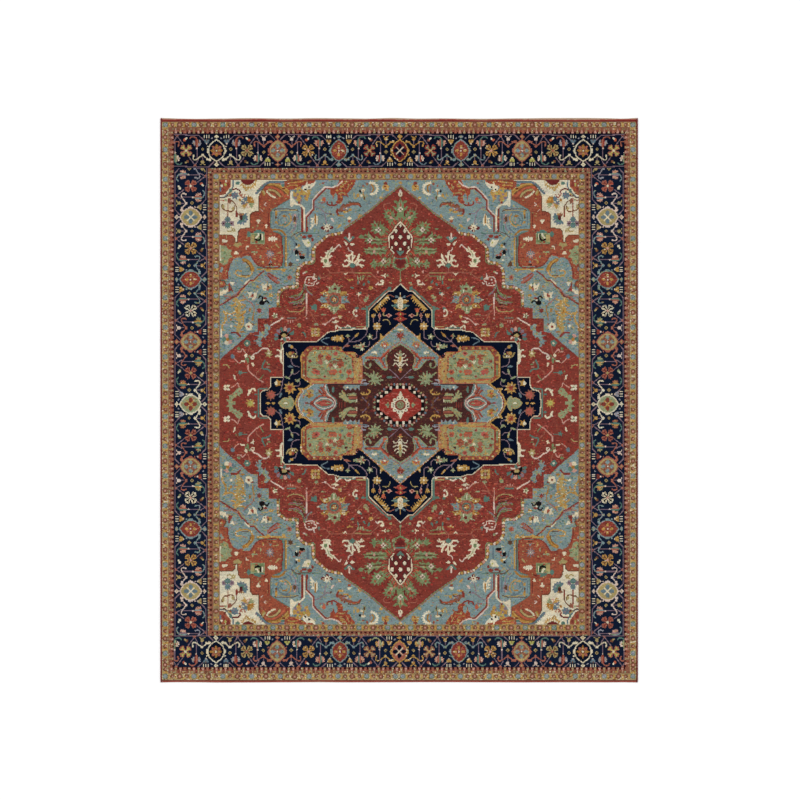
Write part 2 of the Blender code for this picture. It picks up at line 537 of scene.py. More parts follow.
def border_unit(pen, colours, width, heart, marks, bud, fan, petal, stripes, spray):
    """One repeat of the main border, drawn about its cartouche. Its arms are on the pen's y side."""
    ground_dye, outline = colours
    both = pen.both()
    both.line("plum", 0.5, ((20, 10.2), (4.9, 10.2)))
    both.line("mauve", 0.5, ((4.9, 10.2), (1.7, 7.1)))
    both.line("plum", 0.5, ((20, -9.9), (11.6, -9.9)))
    both.line("mauve", 0.5, ((11.6, -9.9), (8.2, -6.9)))
    both.line("mauve", 0.5, ((17.6, 4.2), (13.7, 9.4), (11.7, 5.8)))
    both.line("salmon", 0.6, ((14.4, 9.8), (13.7, 9), (13, 9.8)))
    both.line("plum", 0.5, ((12.6, 5.4), (12.6, -1)))
    palmette(both.at(12.6, -0.8), petal, *stripes)
    arm = (
        (4.2, 5.7), (6, 5.1), (7.5, 3.9), (9, 3.3), (10.4, 3.9), (11.8, 5), (13.3, 5.8), (14.6, 5.7),
        (15.1, 4.7),
    )
    both.line(outline, 0.65, smooth(arm))
    both.line(outline, 0.9, ((15, 4.2), (14.6, 3)))
    both.oval(outline, 4.4, 5.7, 1.1, 0.9)
    both.oval(outline, 6, 5.6, 0.7, 0.6)
    both.oval(outline, 8.9, 2.7, 0.9, 0.7)
    both.oval(bud, 8.9, 7.3, 1.1, 1.1)
    both.line("plum", 0.5, ((8.9, 6.2), (8.9, 4.3)))
    both.line(bud, 0.5, smooth(((7.2, 9.1), (8.2, 8.6), (8.9, 8.1), (9.6, 8.6), (10.6, 9.1))))
    lozenge(both, 8.9, -0.9, 1.2, 1.2, "khaki")
    both.oval("brown", 8.9, -0.9, 0.5)
    fan_flower(both.at(6.4, -6), fan)
    both.at(3, -7.9, -50).oval("lilac", 0, 0, 0.4, 0.7)
    lozenge(pen, 0, 8.9, 1.7, 1.6, outline)
    pen.line(outline, 0.5, ((0, 7.4), (0, 6.6)))
    lozenge(pen, 0, -8.9, 1.7, 1.1, outline)
    spots(pen, "khaki", (0, 8.9, 0.6, 0.5), (0, -8.9, 0.5, 0.3))
    bough = both.at(18.6, 7, -45)
    bough.oval(spray[0], 0, -0.2, 0.9, 0.9)
    bough.oval(spray[1], 0.2, 1.1, 0.55, 0.9)
    cartouche(pen, width, ground_dye, outline, heart, marks)


# The repeats of the main border. stripes gives the palmette's two stripes, and spray a leaf and its tip
GOLD_CROSS = dict(
    colours=("oxblood", "gold"), width=4.9, heart=cross_heart, marks=("navy", "cream"), bud="gold",
    fan="gold", petal="blush", stripes=("slate", "brick"), spray=("salmon", "ivory"),
)
SLATE_FLOWER = dict(
    colours=("brick", "sky"), width=5.1, heart=flower_heart, marks=("gold", "salmon", "blush"), bud="gold",
    fan="gold", petal="pink", stripes=("teal", "salmon"), spray=("umber", "khaki"),
)
RED_FLOWER = dict(
    colours=("khaki", "salmon"), width=5.2, heart=wheel_heart, marks=("sky", "russet", "blush"),
    bud="blush", fan="lime", petal="blush", stripes=("teal", "salmon"), spray=("coral", "ivory"),
)
IVORY_ROSETTE = dict(
    colours=("navy", "cream"), width=5.2, heart=rosette_heart, marks=("ochre", "salmon", "cream"),
    bud="khaki", fan="slate", petal="lilac", stripes=("salmon", "brick"), spray=("umber", "khaki"),
)
GREEN_CROSS = dict(
    colours=("sage", "ivory"), width=5.7, heart=cross_heart, marks=("brick", "gold"), bud="gold",
    fan="lilac", petal="salmon", stripes=("teal", "gold"), spray=("khaki", "cream"),
)
GREEN_LATTICE = dict(
    colours=("khaki", "blush"), width=5.7, heart=cross_heart, marks=("slate", "cream"), bud="khaki",
    fan="khaki", petal="pink", stripes=("sky", "salmon"), spray=("cream", "ivory"),
)
SALMON_CROSS = dict(GOLD_CROSS, colours=("salmon", "gold"), petal="gold", stripes=("sage", "pink"))
RED_SIDE = dict(
    RED_FLOWER, width=5.6, fan="brick", petal="sage", stripes=("teal", "gold"), spray=("sage", "ivory"),
)
SLATE_SIDE = dict(SLATE_FLOWER, width=5.5)
CORNER_END = dict(RED_FLOWER, bud="salmon", stripes=("teal", "sage"))
CORNER_SIDE = dict(
    colours=("navy", "lilac"), width=5.4, heart=flower_heart, marks=("sky", "salmon", "pink"), bud="khaki",
    fan="khaki", petal="pink", stripes=("sky", "mauve"), spray=("coral", "ivory"),
)
FAR_REPEATS = (GOLD_CROSS, SLATE_FLOWER, RED_FLOWER, IVORY_ROSETTE, CORNER_END)
NEAR_REPEATS = (SALMON_CROSS, SLATE_FLOWER, RED_FLOWER, IVORY_ROSETTE, CORNER_END)
SIDE_REPEATS = (GREEN_CROSS, RED_SIDE, SLATE_SIDE, GREEN_LATTICE, CORNER_SIDE)

# How far each of those lies from the middle of its side
FAR_PLACES = (0, 39, 78, 117, 156)
NEAR_PLACES = (0, 38, 78, 117.1, 156.1)
SIDE_PLACES = (0, 39.8, 79.6, 119.4, 159.2)
FAR_MIDDLE = 0.5
NEAR_MIDDLE = 0.2
SIDE_MIDDLE = -2.5

# The dyes of the flowers between the repeats, from the middle outwards: lobes, veins and heart
FAR_FLOWERS = (
    ("brick", "sage", "gold"),
    ("gold", "umber", "pink"),
    ("khaki", "umber", "salmon"),
    ("salmon", "lime", "cream"),
)
NEAR_FLOWERS = (("russet", "sand", "gold"), *FAR_FLOWERS[1:])
SIDE_FLOWERS = (
    ("salmon", "oxblood", "khaki"),
    ("cream", "black", "pink"),
    ("gold", "umber", "pink"),
    ("salmon", "brick", "cream"),
)


def border_run(pen, turn, places, units, flowers):
    """Half of one side of the main border, along the pen's x axis from the middle of that side."""
    for i, (place, unit) in enumerate(zip(places, units)):
        border_unit(pen.at(place, 0, 180 * (i % 2) + turn), **unit)
    for place, following, blossom in zip(places, places[1:], flowers):
        quatrefoil(pen.at((place + following) / 2, 0), *blossom)


def main_border(pen):
    """The navy border of repeats, whose arms point in and out in turn. Its ends cut its sides short."""
    half_width, far, near = MAIN_BORDER
    inner_width, inner_far, inner_near = INNER_STRIPE
    pen.chart.keep_within(-half_width, inner_near, half_width, inner_far)
    for side in (1, -1):
        middle = pen.at(side * (half_width + inner_width) / 2, SIDE_MIDDLE)
        for flip in (False, True):
            border_run(middle.at(0, 0, 90 * side, flip=flip), 0, SIDE_PLACES, SIDE_REPEATS, SIDE_FLOWERS)
    pen.chart.keep_within(-half_width, near, half_width, far)
    ends = (
        (FAR_MIDDLE, (far + inner_far) / 2, 0, FAR_PLACES, FAR_REPEATS, FAR_FLOWERS),
        (NEAR_MIDDLE, (near + inner_near) / 2, 180, NEAR_PLACES, NEAR_REPEATS, NEAR_FLOWERS),
    )
    for middle, place, *run in ends:
        for flip in (False, True):
            border_run(pen.at(middle, place, flip=flip), *run)
    pen.chart.keep_within(*EVERYWHERE)


def guard_flower(pen):
    """The blue flower of the guard bands."""
    pen.oval("green", 0, 0, 1.75, 1.7)
    pen.oval("lilac", 0, 0, 1.3, 1.25)
    for turn in DIAGONALS:
        pen.at(0, 0, turn).oval("teal", 0, 1.4, 0.4, 0.4)
    pen.oval("sky", 0, 0, 0.5)


def guard_leaves(pen):
    """What lies between a blue flower, at the pen's place, and the red one after it."""
    pen.line("gold", 0.8, ((2.2, 1.4), (2.6, 0.2), (2.3, -1.2)))
    pen.line("ochre", 0.5, ((3.1, 1.4), (3, 0.3)))
    pen.oval("umber", 4.5, -0.2, 1.3, 1.3)
    pen.oval("russet", 4.6, -0.1, 0.8, 0.9)
    pen.oval("pink", 4.7, 0.2, 0.5, 0.5)
    pen.line("gold", 0.8, ((6.9, 1.4), (6.2, 0.4), (6.5, -1.2)))
    pen.line("khaki", 0.5, ((5.6, 1.6), (6.2, 1.6)))


def guard_rosette(pen):
    """The red flower of the guard bands."""
    pen.oval("umber", 0, 0, 1.8, 1.7)
    pen.oval("russet", 0, 0, 1.2, 1.4)
    pen.oval("pink", 0, 0, 0.6)


def guard_run(pen, start, spacing, reach):
    """Half of one side of a guard band, along the pen's x axis, with flowers from start to reach."""
    count = round((reach - start) / spacing)
    places = [start + spacing * i for i in range(count)] + [reach]
    for place, following in zip([-start, *places], places):
        if following - place > 0.7 * spacing:
            guard_leaves(pen.at(place, 0))
            guard_leaves(pen.at(following, 0, flip=True))
            guard_rosette(pen.at((place + following) / 2, 0))
    for place in places:
        guard_flower(pen.at(place, 0))


def guard_band(pen, outer, inner, middle, ends, sides):
    """A pale band of small flowers. ends and sides give the first flower's place and the spacing."""
    (outer_width, outer_far, outer_near), (inner_width, inner_far, inner_near) = outer, inner
    x = (outer_width + inner_width) / 2
    far, near = (outer_far + inner_far) / 2, (outer_near + inner_near) / 2
    for side, flip in ((1, False), (-1, True)):
        guard_run(pen.at(0, far, flip=flip), *ends, x)
        guard_run(pen.at(0, near, 180, flip=flip), *ends, x)
        guard_run(pen.at(side * x, middle, 90), *sides, far - middle)
        guard_run(pen.at(side * x, middle, -90), *sides, middle - near)
    for half_width, high, low in (outer, inner):
        edge = ((-half_width, low), (half_width, low), (half_width, high), (-half_width, high))
        pen.line("russet", 0.5, edge, True)


def row(first, last, spacing):
    """Evenly spaced places from first to last, about this far apart."""
    count = max(1, round((last - first) / spacing))
    return [first + (last - first) * i / count for i in range(count + 1)]


# How far apart the notches of the stripes are, in centimetres
END_DENTILS = 2.88
SIDE_DENTILS = 3.1


def dentils(pen, places, depth, low, high, bars, rise):
    """One side of a stripe, along the pen's x axis: dark notches with a bar between each and the next."""
    for i, along in enumerate(places):
        between = along + (places[1] - places[0]) / 2
        pen.line("brick", 0.6, ((along, low + depth), (along, low + rise - 0.3)))
        pen.box("wine", along - 0.6, low, along + 0.6, low + depth)
        pen.fill(
            bars[i % len(bars)],
            ((between - 0.8, low + 0.3), (between + 0.8, low + 0.3), (between, low + rise + 0.4)),
        )
        pen.box(("sage", "umber", "gold", "brick")[i % 4], along - 0.9, high - 0.9, along + 0.2, high - 0.3)
        pen.box("sand", between - 0.4, high - 1, between + 0.4, high - 0.3)


def stripe(pen, outer, inner, depth, inset, bars, rise):
    """A narrow red-brown band with dark notches, which start inset from its inner edge."""
    (outer_width, outer_far, outer_near), (inner_width, inner_far, inner_near) = outer, inner
    along = row(inner_near + 1, inner_far - 1, SIDE_DENTILS)
    across = row(-inner_width, inner_width, END_DENTILS)
    for turn, flip, places, low, high in (
        (0, False, across, inner_far, outer_far), (180, False, across, -inner_near, -outer_near),
        (90, False, along, inner_width, outer_width), (-90, True, along, inner_width, outer_width),
    ):
        dentils(pen.at(0, 0, turn, flip=flip), places, depth, low + inset, high, bars, rise)


def borders(pen):
    """The bands of the border from the outside in, and the ground of the field."""
    pen.box("oxblood", -160, -190, 160, 190)
    band(pen, "sand", OUTER_GUARD)
    guard_band(pen, OUTER_GUARD, OUTER_STRIPE, -0.8, (2.4, 18.35), (9.6, 18.9))
    band(pen, "russet", OUTER_STRIPE)
    stripe(pen, OUTER_STRIPE, MAIN_BORDER, 1.1, 0, ("pink", "sand", "salmon", "pink", "sand"), 2.2)
    band(pen, "indigo", MAIN_BORDER)
    pen.box("navy", -MAIN_BORDER[0], INNER_STRIPE[1], MAIN_BORDER[0], MAIN_BORDER[1])
    main_border(pen)
    band(pen, "russet", INNER_STRIPE)
    stripe(pen, INNER_STRIPE, INNER_GUARD, 1, 0.6, ("salmon", "russet", "sage", "salmon"), 1.4)
    band(pen, "dun", INNER_GUARD)
    guard_band(pen, INNER_GUARD, FIELD, 0, (7.4, 18.3), (9.5, 19.1))
    band(pen, "sky", FIELD)


# The outlines of the field's grounds, each as it runs in the far left quarter. The pen q, which draws the
# field, mirrors each shape to the other three quarters
RED_FIELD = (
    (0.7, 136.4), (-10, 127.9), (-20, 119.3), (-34.6, 109.2), (-37.2, 105.6), (-45.6, 104.2), (-52.6, 97.8),
    (-53.5, 96.4), (-53.6, 88.2), (-54.6, 86.9), (-60.2, 86.5), (-63.2, 83.4), (-63.8, 82), (-63.9, 72.2),
    (-65.2, 71.2), (-72.2, 71), (-75.4, 68.6), (-76.2, 66.8), (-76.3, 59.2), (-83.5, 59), (-83.5, 52.4),
    (-90.5, 52.2), (-90.5, 43.6), (-95, 43.2), (-100, 38.5), (-105, 34.2), (-110, 30), (-113.2, 27),
    (-114.9, 24.4), (-125, 24.4),
)
BEADED_EDGE = (
    (-36.6, 106.9), (-45.4, 105.2), (-49.4, 101.8), (-53.4, 98.6), (-54.8, 96.4), (-54.9, 89.2),
    (-56.4, 88), (-60.4, 87.7), (-64.4, 84), (-65, 82), (-65, 74.2), (-66, 72.5), (-72.6, 72.2),
    (-76.6, 69.4), (-77.4, 67.4), (-77.4, 59.6),
)
TERRACOTTA_CORNER = (
    (-125, 150), (-70, 150), (-69.8, 128.4), (-74, 126.2), (-77.5, 123.9), (-80.6, 122.2), (-82.2, 120.2),
    (-82.2, 110.2), (-80.8, 107.8), (-76.2, 106.2), (-74.6, 104.4), (-74.5, 85.4), (-89.8, 85.4),
    (-94.4, 91.4), (-95.8, 92.4), (-98.6, 92.2), (-100.4, 90.8), (-103, 91.4), (-105.8, 90), (-107.8, 86.5),
    (-108.8, 82), (-109.2, 77.6), (-112, 76.8), (-125, 77),
)
IVORY_CORNER = (
    (-125, 150), (-70, 150), (-70, 139.8), (-80.5, 139.6), (-83, 138.6), (-85.5, 136.6), (-87.5, 134),
    (-89, 131.4), (-89.4, 130), (-89.4, 120.6), (-93.4, 120.3), (-94.9, 118.6), (-94.9, 109.9),
    (-101, 109.7), (-102.6, 107.8), (-103, 104.4), (-103.4, 100.8), (-104.4, 101), (-104.8, 103.6),
    (-106.4, 105.3), (-113.6, 105.5), (-125, 104.4),
)
RED_CORNER = (
    (-107, 150), (-106.9, 137), (-107.4, 135.8), (-108.8, 134.2), (-110.2, 132.2), (-112, 130.5),
    (-125, 130.4),
)
MEDALLION = (
    (0.8, 74.3), (-4.2, 69.6), (-6.8, 69.6), (-8, 68.6), (-18.6, 58.4), (-19.2, 57.4), (-19.2, 47.3),
    (-20.8, 45.4), (-38, 45), (-41.5, 43.9), (-45.2, 43.6), (-52.6, 37.4), (-72.6, 37.3), (-74.2, 35.6),
    (-74, 14.8), (-82, 14.7), (-82.2, 8.4), (-84.2, 6.5), (-87, 6.2), (-88.6, 4.4), (-88.8, -1.9),
)
DIAMOND = ((0.8, 49.4), (-10.2, 40), (-24.8, 27.2), (-24.8, 9.8), (-24.8, -1.9))
CARTOUCHE = (
    (0.8, 36), (-4.5, 32.6), (-7.2, 30.2), (-8.1, 28), (-8.3, 25), (-7.4, 21.6), (-8, 19.6), (-10.2, 19.8),
    (-12.8, 22.2), (-15.4, 25), (-18, 26), (-20.6, 25.2), (-22.2, 22.8), (-24, 20.6), (-24.3, 10),
    (-46.2, 9.8), (-45.8, 6.5), (-44.2, 3.9), (-41.8, 1.9), (-40.3, 0.2), (-39.8, -1.9),
)
OVAL_PANEL = (
    (-46, 10.2), (-56.2, 10.2), (-60.6, 7), (-64, 7.4), (-62.6, 5.4), (-64.7, 2.8), (-65.8, 0), (-66, -1.9),
)
GREEN_PANEL = (
    (-57, 10.4), (-62.2, 14), (-63.4, 15.2), (-63.5, 28.5), (-62.4, 30.6), (-59.5, 33.8), (-58, 34.5),
    (-40.2, 34.5), (-38.4, 33.2), (-36.4, 31.2), (-30.2, 31.2), (-28.8, 30.2), (-28.2, 27), (-27, 27),
    (-26.2, 28.5), (-25, 27.6), (-24.4, 26), (-24.3, 10.4),
)

# The outlines about the red hexagon, from its own middle
RED_HEXAGON = ((0, 10.4), (-4.4, 10.4), (-5.8, 7.9), (-8.8, 6.6), (-10.6, 4.6), (-13.2, 3.4), (-13.2, 0))
SQUARE_RING = ((0, 11.4), (-5.4, 11.4), (-8.2, 8.6), (-14.2, 4), (-14.2, 0))
BEAD_RING = ((0, 13.2), (-6.6, 13.2), (-16.6, 4.6), (-16.6, 0))


def quarter(points, middle=(MIDDLE_X, MIDDLE_Y)):
    """A closed outline from a run of points that ends on a middle line: it takes in the middle."""
    x, y = np.add(middle, (0.4, -0.4))
    return (*points, (points[-1][0], y), (x, y), (x, points[0][1] - 0.4))


def spaced(points, spacing):
    """Evenly spaced places along a run of points."""
    points = np.asarray(points, float)
    far = np.concatenate(((0,), np.cumsum(np.linalg.norm(np.diff(points, axis=0), axis=1))))
    at = np.arange(0, far[-1], spacing)
    return np.column_stack((np.interp(at, far, points[:, 0]), np.interp(at, far, points[:, 1])))


def strokes(pen, dye, width, *runs):
    """Several smooth lines of one yarn."""
    for run in runs:
        pen.line(dye, width, smooth(run) if len(run) > 2 else run)


def spots(pen, dye, *places):
    """Several ovals of one yarn, each as x, y, half width and half length."""
    for x, y, across, along in places:
        pen.oval(dye, x, y, across, along)


def beads(pen, points, spacing, dyes, across, along=None):
    """A row of small ovals along a run of points, in turn from the dyes."""
    for i, (x, y) in enumerate(spaced(points, spacing)):
        pen.oval(dyes[i % len(dyes)], x, y, across, along)


def shapes(pen, dye, *outlines):
    """Several filled outlines of one yarn."""
    for outline in outlines:
        pen.fill(dye, outline)


def medallion_vines(q):
    """The thin vines on the medallion's navy ground."""
    strokes(q, "salmon", 0.5, ((-7.6, 66.8), (-5.5, 67.1), (-3.4, 66)))
    strokes(
        q, "mauve", 0.5, ((-14.1, 44.4), (-14.5, 40), (-17, 38.8)),
        ((-28.6, 40.2), (-31.5, 37.8), (-32.4, 40)),
        ((-20.9, 45.2), (-20.6, 43.5), (-21.8, 41), (-24.5, 38.6), (-27.5, 37.6), (-31.6, 37.6)),
        ((-21.5, 34.2), (-20, 34.4), (-19, 35.6), (-18.8, 37.5)), ((-36.6, 32.4), (-31.5, 37.8)),
        ((-67.8, 33.2), (-66.2, 32.6), (-65.2, 29.4)),
        ((-68.6, 27), (-68.6, 24.5), (-67.2, 22.2), (-63.6, 21.2)),
        ((-64, 18.5), (-66, 16.9), (-68.5, 16.8), (-70.5, 14.6), (-73.6, 15)),
        ((-63.6, 12), (-63.2, 10.5), (-64.4, 9.2), (-66.8, 9)), ((-74.3, 12), (-76.6, 10.8)),
        ((-73.8, 15), (-74.3, 12), (-75.2, 7), (-76.8, 4.2), (-79.4, 3.2)), ((-12.4, 52.2), (-12.8, 50)),
        ((-16.5, 52.4), (-16.6, 49.8)),
    )
    strokes(q, "slate", 0.7, ((-44.8, 39.9), (-47.5, 39.4), (-49.6, 37.9), (-47.5, 36.6), (-45.6, 35.4)))
    strokes(
        q, "khaki", 0.5, ((-10, 56), (-10, 54.2), (-8, 54.1)), ((-10, 56), (-9.9, 54.2)),
        ((-10.3, 51.1), (-8.4, 51.5), (-6.8, 50.9), (-6, 49.4), (-5.9, 48.2)),
    )


def medallion_crown(q):
    """The toothed leaf and the pale flower in the far point of the medallion."""
    comb(q.at(-7.4, 67.4, 226), 13, 3.5, 8, "gold")
    for dye, points in (
        ("slate", ((0.6, 64.9), (-1.4, 66.8), (-2.6, 67.1), (-2.4, 65.6))),
        ("gold", ((0, 64.2), (-3, 64.4), (-2.6, 63.8), (-5.2, 63.5), (-3.4, 62.6), (-3, 61.8), (0, 61.6))),
        ("teal", ((0, 61.4), (-3, 61.5), (-2.8, 60.9), (-5.6, 60.5), (-3.4, 59.6), (-1.2, 59))),
        ("madder", ((0.8, 56.6), (-0.6, 56), (-2.8, 54.9), (-1.2, 54.4), (0.8, 53.4))),
        ("madder", ((0.8, 54), (-1.2, 53), (-3.6, 51.8), (-1.6, 51.2), (0.8, 49.8))),
    ):
        q.fill(dye, points)
    q.line("sky", 0.5, ((-1.4, 60.4), (-4.2, 60.5)))
    q.line("gold", 0.9, ((0.8, 66), (0.8, 68.6)))
    strokes(q, "gold", 0.7, ((-3.2, 59), (-1.4, 58), (0.8, 57.8)))
    spots(q, "cream", (0.8, 63.4, 1.7, 2.5), (0.8, 60.4, 1.9, 2.3))
    spots(q, "gold", (0.8, 63.2, 1, 1.1), (0.8, 60.4, 1, 1.1))
    spots(q, "ivory", (0.8, 63.2, 0.6, 0.7), (0.8, 60.4, 0.6, 0.7))


def medallion_blossoms(q):
    """The small flowers and leaves of the navy ground."""
    shapes(q, "sage", ((-66.8, 13.8), (-65.4, 13), (-63.2, 14), (-63.6, 12.2), (-65, 11.4), (-66, 12.2)))
    spots(q, "salmon", (-2.2, 54.9, 0.6, 0.3), (-2.8, 51.9, 0.8, 0.3))
    spots(q, "lime", (0.8, 55.1, 0.5, 0.6), (0.8, 52.1, 0.5, 0.6), (-66.2, 29.4, 0.6, 0.6))
    tulip(q.at(-10, 57.6), "coral")
    tulip(q.at(-16.5, 53.9), "gold")
    lozenge(q, -12.4, 54, 1, 2.1, "pink")
    lozenge(q, -6.5, 54.1, 2, 1.4, "pink")
    spots(
        q, "gold", (-68.6, 34, 1.1, 0.9), (-69.3, 29.8, 1.2, 1.5), (-83.7, -1.9, 1.4, 0.7),
        (-80.2, -1.9, 1.2, 0.7), (-66.8, -1.9, 1.4, 0.9),
    )
    spots(q, "brick", (-12.4, 54, 0.5, 1.1), (-6.7, 54.1, 0.8, 0.7))
    star(q.at(-14.1, 47.3), 8, 3, 2, "gold")
    for turn in AXES:
        q.at(-14.1, 47.3, turn).oval("cream", 0, 1.9, 0.3, 0.5)
    spots(q, "ivory", (-14.1, 47.3, 0.8, 0.8))
    star(q.at(-18.6, 40.6, 10), 5, 2.4, 1.1, "sage")
    spots(q, "ivory", (-18.6, 40.6, 0.6, 0.6))
    leaf(q.at(-28.4, 40.2, -44), 4.6, 1.3, "gold")
    star(q.at(-32.8, 41), 4, 1.8, 0.8, "sage")
    serrated(q.at(-37, 39.4, 91), 6, 4.8, 4, "gold")
    frill(q.at(-37.6, 39.4), 0, 2.7, -80, 80, 3, "gold")
    spots(q, "ivory", (-37.3, 39.4, 0.6, 0.6))
    leaf(q.at(-35.4, 34.4, -82), 4.6, 1.4, "salmon")
    lozenge(q, -37.4, 33.3, 1.3, 1.2, "gold")
    serrated(q.at(-24.6, 34.4, 90), 4.4, 3, 3, "sage")
    star(q.at(-24, 34.4, 12), 7, 3.4, 1.4, "sage")
    spots(q, "cream", (-25, 35.2, 0.9, 0.4), (-23.6, 32.6, 0.4, 0.9), (-22.4, 35.8, 0.4, 0.7))
    spots(q, "salmon", (-23, 34.4, 0.7, 0.9))
    strokes(q, "khaki", 0.9, ((-71.9, 30.2), (-70.6, 28), (-68.5, 27.3), (-66, 27.3), (-65, 28.2)))
    star(q.at(-77.5, 10.9, 10), 5, 2.6, 1.4, "gold")
    spots(q, "ivory", (-78.5, 11, 1, 1.2), (-67.6, 28.2, 1.3, 0.6))
    strokes(
        q, "umber", 0.5, ((-69.6, 27.8), (-69, 29.2)), ((-67.6, 27.6), (-67.6, 29)),
        ((-66, 27.9), (-66.6, 29.2)),
    )
    spots(q, "terracotta", (-67.8, 30.2, 1, 0.9))
    spots(q, "sky", (-70, 34.9, 0.8, 0.8))
    leaf(q.at(-67.6, 21.2, 80), 4, 1.5, "slate")
    q.line("sage", 1.2, ((-68, 19.4), (-68.6, 17.2)))
    q.line("sage", 1.1, ((-72.4, 14.8), (-70, 13.9)))
    q.line("slate", 1.2, ((-75.2, 4.4), (-76, 2.4)))


def medallion_side(q):
    """The two round flowers and the fish at either side of the navy ground."""
    star(q.at(-69.7, 7.8, 12), 9, 4.3, 2.6, "gold")
    star(q.at(-69.9, 8, 32), 9, 2.8, 1.2, "terracotta")
    spots(q, "brick", (-70, 8.1, 1, 0.9))
    star(q.at(-81.9, 3.4, 20), 9, 3.7, 2.3, "russet")
    star(q.at(-81.5, 3.4, 40), 9, 2.7, 1.6, "rose")
    spots(q, "salmon", (-81.3, 3.4, 0.8, 0.8))
    fish = (
        (-76.9, -1.9), (-74.8, 0.6), (-72.2, 1.5), (-70.8, 0.9), (-70, 2.7), (-68.4, 1.6), (-67.6, -0.2),
        (-67.4, -1.9),
    )
    q.fill("sage", (*smooth(fish), (-67.4, -2.4), (-76.9, -2.4)))
    q.line("khaki", 0.6, smooth(fish))
    q.line("khaki", 0.5, smooth(((-74.6, -1.9), (-73.2, -0.4), (-71.4, -0.6), (-70.4, -1.9))))
    spots(q, "ivory", (-72.4, -1.9, 1.2, 0.6))


def green_panel_edge(q):
    """The checked and beaded edge of each of the four panels round the medallion's middle."""
    q.fill("terracotta", GREEN_PANEL)
    beads(
        q, ((-61.9, 15.6), (-61.9, 28.8), (-58.4, 33), (-40.4, 33.4), (-37.8, 31.8)), 1.45,
        ("gold", "russet", "brick"), 0.9, 0.75,
    )
    strokes(q, "green", 0.7, ((-61.9, 16), (-61.9, 23)))
    q.fill("mottled", (
        (-36.4, 30.4), (-29.2, 30.2), (-28.6, 27), (-24.6, 26.4), (-24.6, 13), (-31, 13.2), (-31, 26),
    ))
    q.fill("mottled", ((-58, 13.4), (-57.4, 10.8), (-24.6, 10.8), (-24.6, 13.4)))
    strokes(
        q, "khaki", 0.9, ((-28.2, 26), (-27.2, 23), (-28.4, 20.6), (-27, 18), (-28.4, 15.2), (-26.6, 12.6)),
        ((-54, 11.4), (-50, 12.2), (-46, 11.6), (-40, 12.4)),
    )
    strokes(
        q, "gold", 0.8, ((-36.2, 30.4), (-32.4, 29.9), (-29.2, 30.4)),
        ((-26.6, 25.6), (-28, 22), (-26.4, 19.8)), ((-29.6, 16.4), (-28.2, 13)),
        ((-47, 12.6), (-39, 12.2), (-34, 12.6)),
    )
    strokes(
        q, "coral", 0.8, ((-56.4, 13.4), (-52, 12.9), (-48.8, 13)),
        ((-34.4, 13.6), (-32.6, 12), (-31.2, 13.2)),
    )
    beads(q, ((-35.4, 30), (-30.6, 28), (-30.3, 13.4)), 1.4, ("brick", "rose", "umber", "coral"), 0.6, 0.6)
    beads(
        q, ((-28.4, 29.4), (-25.6, 26.6), (-25.2, 12.8)), 1.5, ("pink", "brick", "salmon", "gold", "coral"),
        0.5, 0.5,
    )
    beads(q, ((-46, 11.2), (-25.6, 11.2)), 2.2, ("coral", "gold", "brick", "gold", "salmon"), 0.6, 0.4)
    spots(q, "rose", (-26.4, 12.2, 1, 0.9), (-33.4, 12.4, 0.9, 0.8))
    q.line("gold", 0.7, GREEN_PANEL[:5])
    q.line("salmon", 0.6, ((-57, 10.4), (-24.3, 10.4), (-24.4, 26)))
    q.fill("navy", ((-27.5, 31.4), (-26, 31.4), (-26.4, 27.6), (-27.1, 27.6)))


